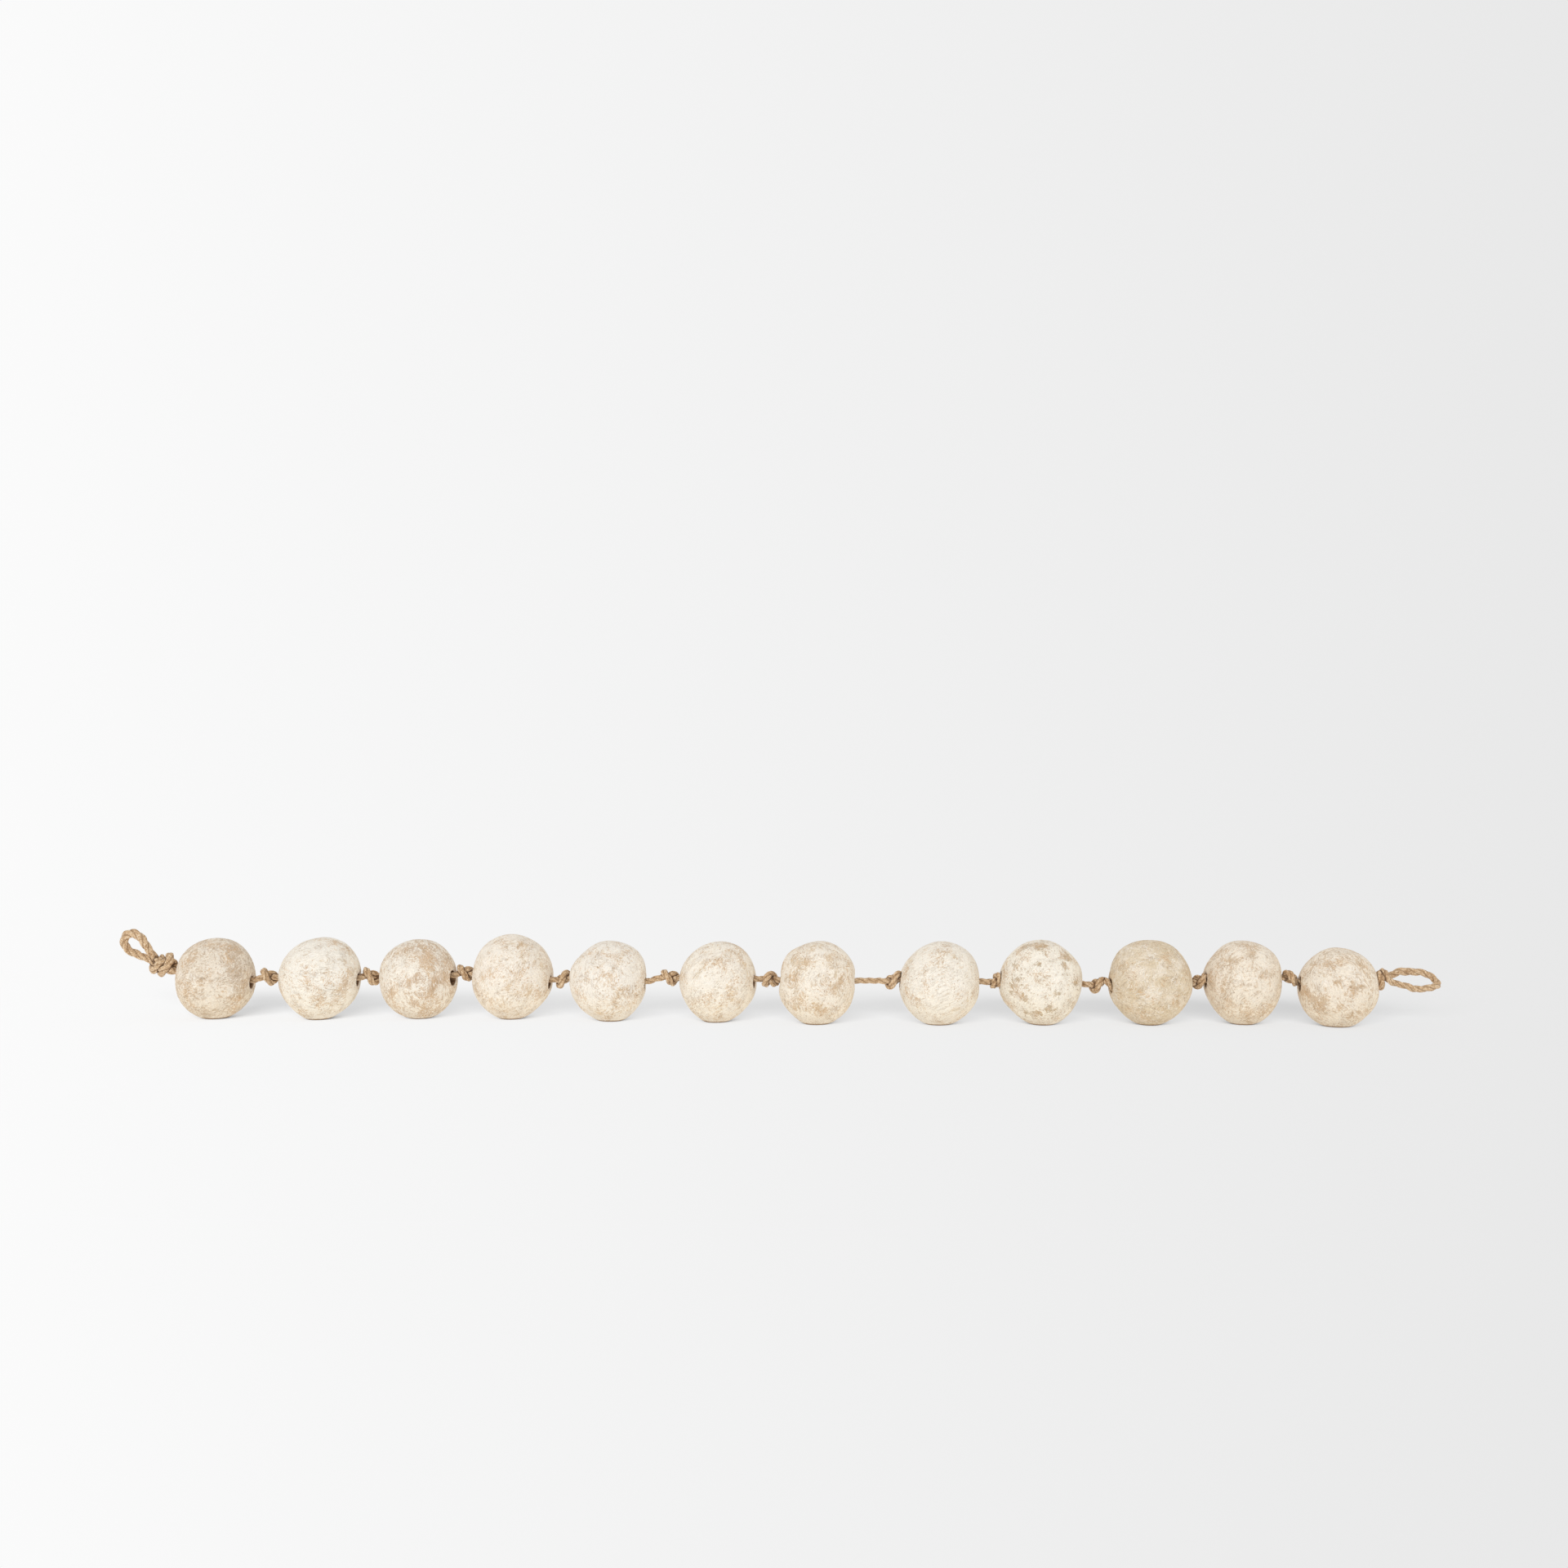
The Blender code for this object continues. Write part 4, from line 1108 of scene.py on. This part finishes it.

    # Grain: the low points of the relief are made browner and darker.
    colour = m.mix(m.step(m.attribute("deep"), 0.50, 0.95, 0.0, 0.38), colour, srgb(*[c * k for c, k in zip(bare, (0.95, 0.91, 0.86))], LIGHT))
    grain = m.math("MULTIPLY_ADD", m.noise(mm, 1.10, 2, 0.6, 0.4), 0.62, m.math("MULTIPLY", fibres(0.95, 0.18, 1, 0.5), 0.38))
    colour = m.mix(m.step(covered, 0.0, 1.0, 1.0, 0.75), colour, m.mix(m.step(grain, 0.36, 0.64), (0.86, 0.855, 0.85, 1), (1.09, 1.09, 1.09, 1)), "MULTIPLY")
    # Painted shade at the edges and bottom, tinted warm.
    colour = m.mix(m.attribute("painted_limb_shade"), colour, m.mix(1.0, colour, (1.0, 0.955, 0.86, 1), "MULTIPLY"))
    # Painted shade where the ball meets the floor.
    colour = m.mix(m.attribute("painted_contact_shade"), colour, m.mix(1.0, colour, (0.36, 0.26, 0.18, 1), "MULTIPLY"))
    # The hole's lip and wall: bare brown paper, made darker as painted shade inside the hole.
    hole_paper_and_shade = m.mix(m.step(pulp, 0.35, 0.65), srgb(116, 88, 64), srgb(160, 130, 100))
    hole = m.attribute("hole")
    colour = m.mix(m.step(m.math("ADD", hole, about(pulp, 0.5)), 0.12, 0.62), colour, hole_paper_and_shade)

    height = m.total(
        m.math("MULTIPLY", torn, 0.28), m.math("MULTIPLY", fine, 0.55),
        m.math("MULTIPLY", grain, 0.55), m.math("MULTIPLY", line, -0.25), m.math("MULTIPLY", speck, -0.3),
    )
    bump = m.add("ShaderNodeBump", {"Strength": 0.8, "Distance": 0.0007, "Height": height})
    shader = m.add("ShaderNodeBsdfPrincipled", {
        "Base Color": colour, "Roughness": m.step(covered, 0.0, 1.0, 0.94, 0.84),
        "Normal": bump.outputs[0],
    })
    shader.inputs["Specular IOR Level"].default_value = 0.22
    out = m.add("ShaderNodeOutputMaterial")
    m.put(out.inputs["Surface"], shader.outputs[0])
    return m.material


def jute_material():
    m = Nodes("jute_fibre")
    where = m.attribute("fibre", "Vector")
    long_streak = m.noise(where, 1.6, 5, 0.7, 0.3)
    thin_streak = m.noise(m.mapped(where, scale=(1.0, 3.2, 3.2)), 2.2, 4, 0.7, 0.2)
    clump = m.noise(m.mapped(where, scale=(2.2, 1.0, 1.0)), 1.5, 3, 0.65, 0.8)
    mm = m.mapped(m.add("ShaderNodeTexCoord").outputs["Object"], scale=(1000, 1000, 1000))
    blotch = m.noise(mm, 0.11, 3, 0.6)
    fluff = m.noise(mm, 0.62, 2, 0.6, 0.8)
    tone = m.total(
        m.math("MULTIPLY", long_streak, 0.8), m.math("MULTIPLY", thin_streak, 0.9),
        m.math("MULTIPLY", clump, 1.3), m.math("MULTIPLY", blotch, 0.5),
        m.math("MULTIPLY", m.math("SUBTRACT", fluff, 0.5), 1.1), -0.1,
    )
    colour = m.mix(m.step(tone, 1.40, 1.78), srgb(184, 147, 107, LIGHT), srgb(226, 195, 157, LIGHT))
    colour = m.mix(m.step(tone, 1.74, 1.98), colour, srgb(246, 226, 196, LIGHT))
    colour = m.mix(m.step(tone, 1.50, 1.24), colour, srgb(150, 110, 72, LIGHT))
    # Painted shade in the creases between the plies.
    crease = m.attribute("crease")
    colour = m.mix(m.step(crease, 0.45, 1.0, 0.0, 0.52), colour, srgb(132, 96, 62, LIGHT))
    # Painted shade deep between the knot's turns.
    colour = m.mix(m.step(m.attribute("crevice_shade"), 0.10, 0.95, 0.0, 0.82), colour, srgb(98, 66, 40, LIGHT))
    height = m.total(m.math("MULTIPLY", thin_streak, 1.0), m.math("MULTIPLY", long_streak, 0.6))
    bump = m.add("ShaderNodeBump", {"Strength": 0.7, "Distance": 0.0004, "Height": height})
    shader = m.add("ShaderNodeBsdfPrincipled", {
        "Base Color": colour, "Roughness": m.step(thin_streak, 0.3, 0.7, 0.95, 0.78), "Normal": bump.outputs[0],
    })
    shader.inputs["Specular IOR Level"].default_value = 0.25
    shader.inputs["Sheen Weight"].default_value = 0.12
    shader.inputs["Sheen Roughness"].default_value = 0.5
    out = m.add("ShaderNodeOutputMaterial")
    m.put(out.inputs["Surface"], shader.outputs[0])
    return m.material


# ===================================================================== pieces
slots = {}
for entry in frame["record"].get("subparts", []):
    slots[entry["node"]] = entry.get("material_slot")

made = []
jute = jute_material()
for number, ball in enumerate(balls, 1):
    piece = make_ball(number, ball)
    piece.data.materials.append(paper_material(number))
    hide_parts(f"ball_{number:02d}")
    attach(piece, "root")
    made.append(piece)

spans = {}
for k, (name, _, _) in enumerate(chunks):
    inside = np.where(owners == k)[0]
    # A chunk's first ring is the last one of the chunk before it.
    spans.setdefault(name, []).append((max(0, inside[0] - 1), inside[-1]))
for name, where in spans.items():
    piece = make_rope(f"jute_{name}", where, 1.2)
    piece.data.materials.append(jute)
    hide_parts(name)
    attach(piece, "root")
    made.append(piece)
    if name.startswith(("cord", "loop")):
        low, high = where[0]
        line = path[low:high + 1:3] * MM
        if (high - low) % 3:
            line = np.vstack([line, path[high] * MM])
        thick = {"loop_left": LEFT_LOOP_D, "loop_right": RIGHT_LOOP_D}.get(name, CORD_D) * MM

# ====================================================================== stage
profile_points = [(-5.0, 0.0), (-2.0, 0.0), (-0.5, 0.0)]
profile_points += [(y, 0.0) for y in np.arange(-0.06, 0.0601, 0.004)]
profile_points += [(0.5, 0.0), (1.6, 0.0)]
for k in range(0, 25):
    a = PI / 2 * k / 24
    profile_points.append((2.4 + 1.2 * math.sin(a), 1.2 * (1 - math.cos(a))))
profile_points.append((3.6, 5.0))
across = np.concatenate([[-6, -3, -1.5, -1.0], np.arange(-0.64, 0.641, 0.005), [1.0, 1.5, 3, 6]])
stage_points = [(x, y, z - 0.0002) for y, z in profile_points for x in across]
w = len(across)
stage_faces = [
    (r * w + c, r * w + c + 1, (r + 1) * w + c + 1, (r + 1) * w + c)
    for r in range(len(profile_points) - 1) for c in range(w - 1)
]
stage_mesh = bpy.data.meshes.new("sweep")
stage_mesh.from_pydata(stage_points, [], stage_faces)
# More of the floor's brightness is caught light right under the balls, so that
# each has its thin dark line of contact.
flat = np.array(stage_points)
touch = np.zeros(len(flat))
for ball in balls:
    off = np.hypot(flat[:, 0] - ball["x"] * MM, flat[:, 1] - (ball["y"] + ROW_SHIFT_Y) * MM)
    touch = np.maximum(touch, np.exp(-(off / 0.016) ** 2))
touch[np.abs(flat[:, 2]) > 0.01] = 0
stage_mesh.attributes.new("touch", "FLOAT", "POINT").data.foreach_set("value", touch.astype(np.float32))
# The shadows are a little deeper at the left end of the row.
lean = np.interp(flat[:, 0], [-0.52, -0.42, -0.36, -0.18, 0.0, 0.2, 0.35, 0.5], [1.35, 1.28, 0.98, 0.82, 0.93, 0.93, 1.04, 1.0])
stage_mesh.attributes.new("depth", "FLOAT", "POINT").data.foreach_set("value", lean.astype(np.float32))
stage_mesh.shade_smooth()
sweep = bpy.data.objects.new("sweep", stage_mesh)
bpy.context.scene.collection.objects.link(sweep)
sweep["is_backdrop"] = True

CATCH = 0.085      # how much of the floor's brightness comes from light on it
FULL = 3.327       # how bright white paint would be on the open floor
s = Nodes("pale_sweep")
at = s.add("ShaderNodeNewGeometry").outputs["Position"]
xyz = s.add("ShaderNodeSeparateXYZ", {"Vector": at})
x, y = xyz.outputs[0], xyz.outputs[1]
# The light falls off from left to right, fanwise.
fan = s.math("DIVIDE", s.math("SUBTRACT", x, 0.1056), s.math("MAXIMUM", s.math("ADD", y, 1.603), 0.45))
fan = s.math("MINIMUM", s.math("MAXIMUM", fan, -0.7), 0.6)
fan = s.math("MULTIPLY", fan, s.step(y, -3.4, -1.2))
tone = s.math("MULTIPLY_ADD", fan, -0.1666, 0.8745)
# Far out of the picture the floor turns into the white room.
far_out = s.math("MAXIMUM", s.step(y, -1.2, -4.2), s.step(s.math("ABSOLUTE", x), 3.2, 5.6))
tone = s.math("ADD", tone, s.math("MULTIPLY", far_out, s.math("SUBTRACT", 1.0, tone)))
near = s.math("MULTIPLY", s.step(s.math("ABSOLUTE", x), 1.25, 0.90),
              s.math("MULTIPLY", s.step(y, 0.38, 0.14), s.step(y, -0.75, -0.40)))
catch = s.math("MULTIPLY", s.math("MULTIPLY", near, s.attribute("depth")), CATCH)
catch = s.math("ADD", catch, s.math("MULTIPLY", s.attribute("touch"), 0.18))
glow = s.math("SUBTRACT", tone, s.math("MULTIPLY", catch, FULL))
emit = s.add("ShaderNodeEmission", {"Strength": glow})
emit.inputs["Color"].default_value = (1, 1, 1, 1)
grey = s.add("ShaderNodeCombineColor", {0: catch, 1: catch, 2: catch})
diffuse = s.add("ShaderNodeBsdfDiffuse", {"Color": grey.outputs[0]})
both_shaders = s.add("ShaderNodeAddShader")
s.put(both_shaders.inputs[0], emit.outputs[0])
s.put(both_shaders.inputs[1], diffuse.outputs[0])
out = s.add("ShaderNodeOutputMaterial")
s.put(out.inputs["Surface"], both_shaders.outputs[0])
s.material.cycles.emission_sampling = "NONE"
stage_mesh.materials.append(s.material)

# ===================================================================== lights
world = bpy.data.worlds.new("room")
bpy.context.scene.world = world
world.use_nodes = True
world.node_tree.nodes["Background"].inputs["Color"].default_value = (1, 1, 1, 1)
# The room is a little dimmer overhead than at eye height.
room = world.node_tree
up = room.nodes.new("ShaderNodeSeparateXYZ")
room.links.new(room.nodes.new("ShaderNodeTexCoord").outputs["Generated"], up.inputs[0])
dim = room.nodes.new("ShaderNodeMapRange")
room.links.new(up.outputs[2], dim.inputs["Value"])
dim.inputs["To Min"].default_value = 1.04
dim.inputs["To Max"].default_value = 0.72
room.links.new(dim.outputs[0], room.nodes["Background"].inputs["Strength"])


def far_light(name, azimuth, elevation, soft, strength, only, shadows=None):
    """A far softbox. Azimuth 0 is behind the viewer and positive to the right."""
    data = bpy.data.lights.new(name, "SUN")
    data.energy = strength
    data.angle = math.radians(soft)
    obj = bpy.data.objects.new(name, data)
    bpy.context.scene.collection.objects.link(obj)
    a, e = math.radians(azimuth), math.radians(elevation)
    source = Vector((math.sin(a) * math.cos(e), -math.cos(a) * math.cos(e), math.sin(e)))
    obj.rotation_euler = source.to_track_quat("Z", "Y").to_euler()
    group = bpy.data.collections.new(f"lit_by_{name}")
    for each in only:
        group.objects.link(each)
    obj.light_linking.receiver_collection = group
    if shadows:
        caught = bpy.data.collections.new(f"shading_{name}")
        for each in shadows:
            caught.objects.link(each)
        obj.light_linking.blocker_collection = caught
    return obj


far_light("key", -11, -2, 75, 1.20, made, made)
for k, azimuth in enumerate((-22, -6, 10)):
    far_light(f"low_{k}", azimuth, 15.5, 18, 9.8, [sweep])

bpy.context.scene.view_settings.view_transform = "Standard"
bpy.context.scene.view_settings.look = "None"

# ======================================================================== end
low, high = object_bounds()
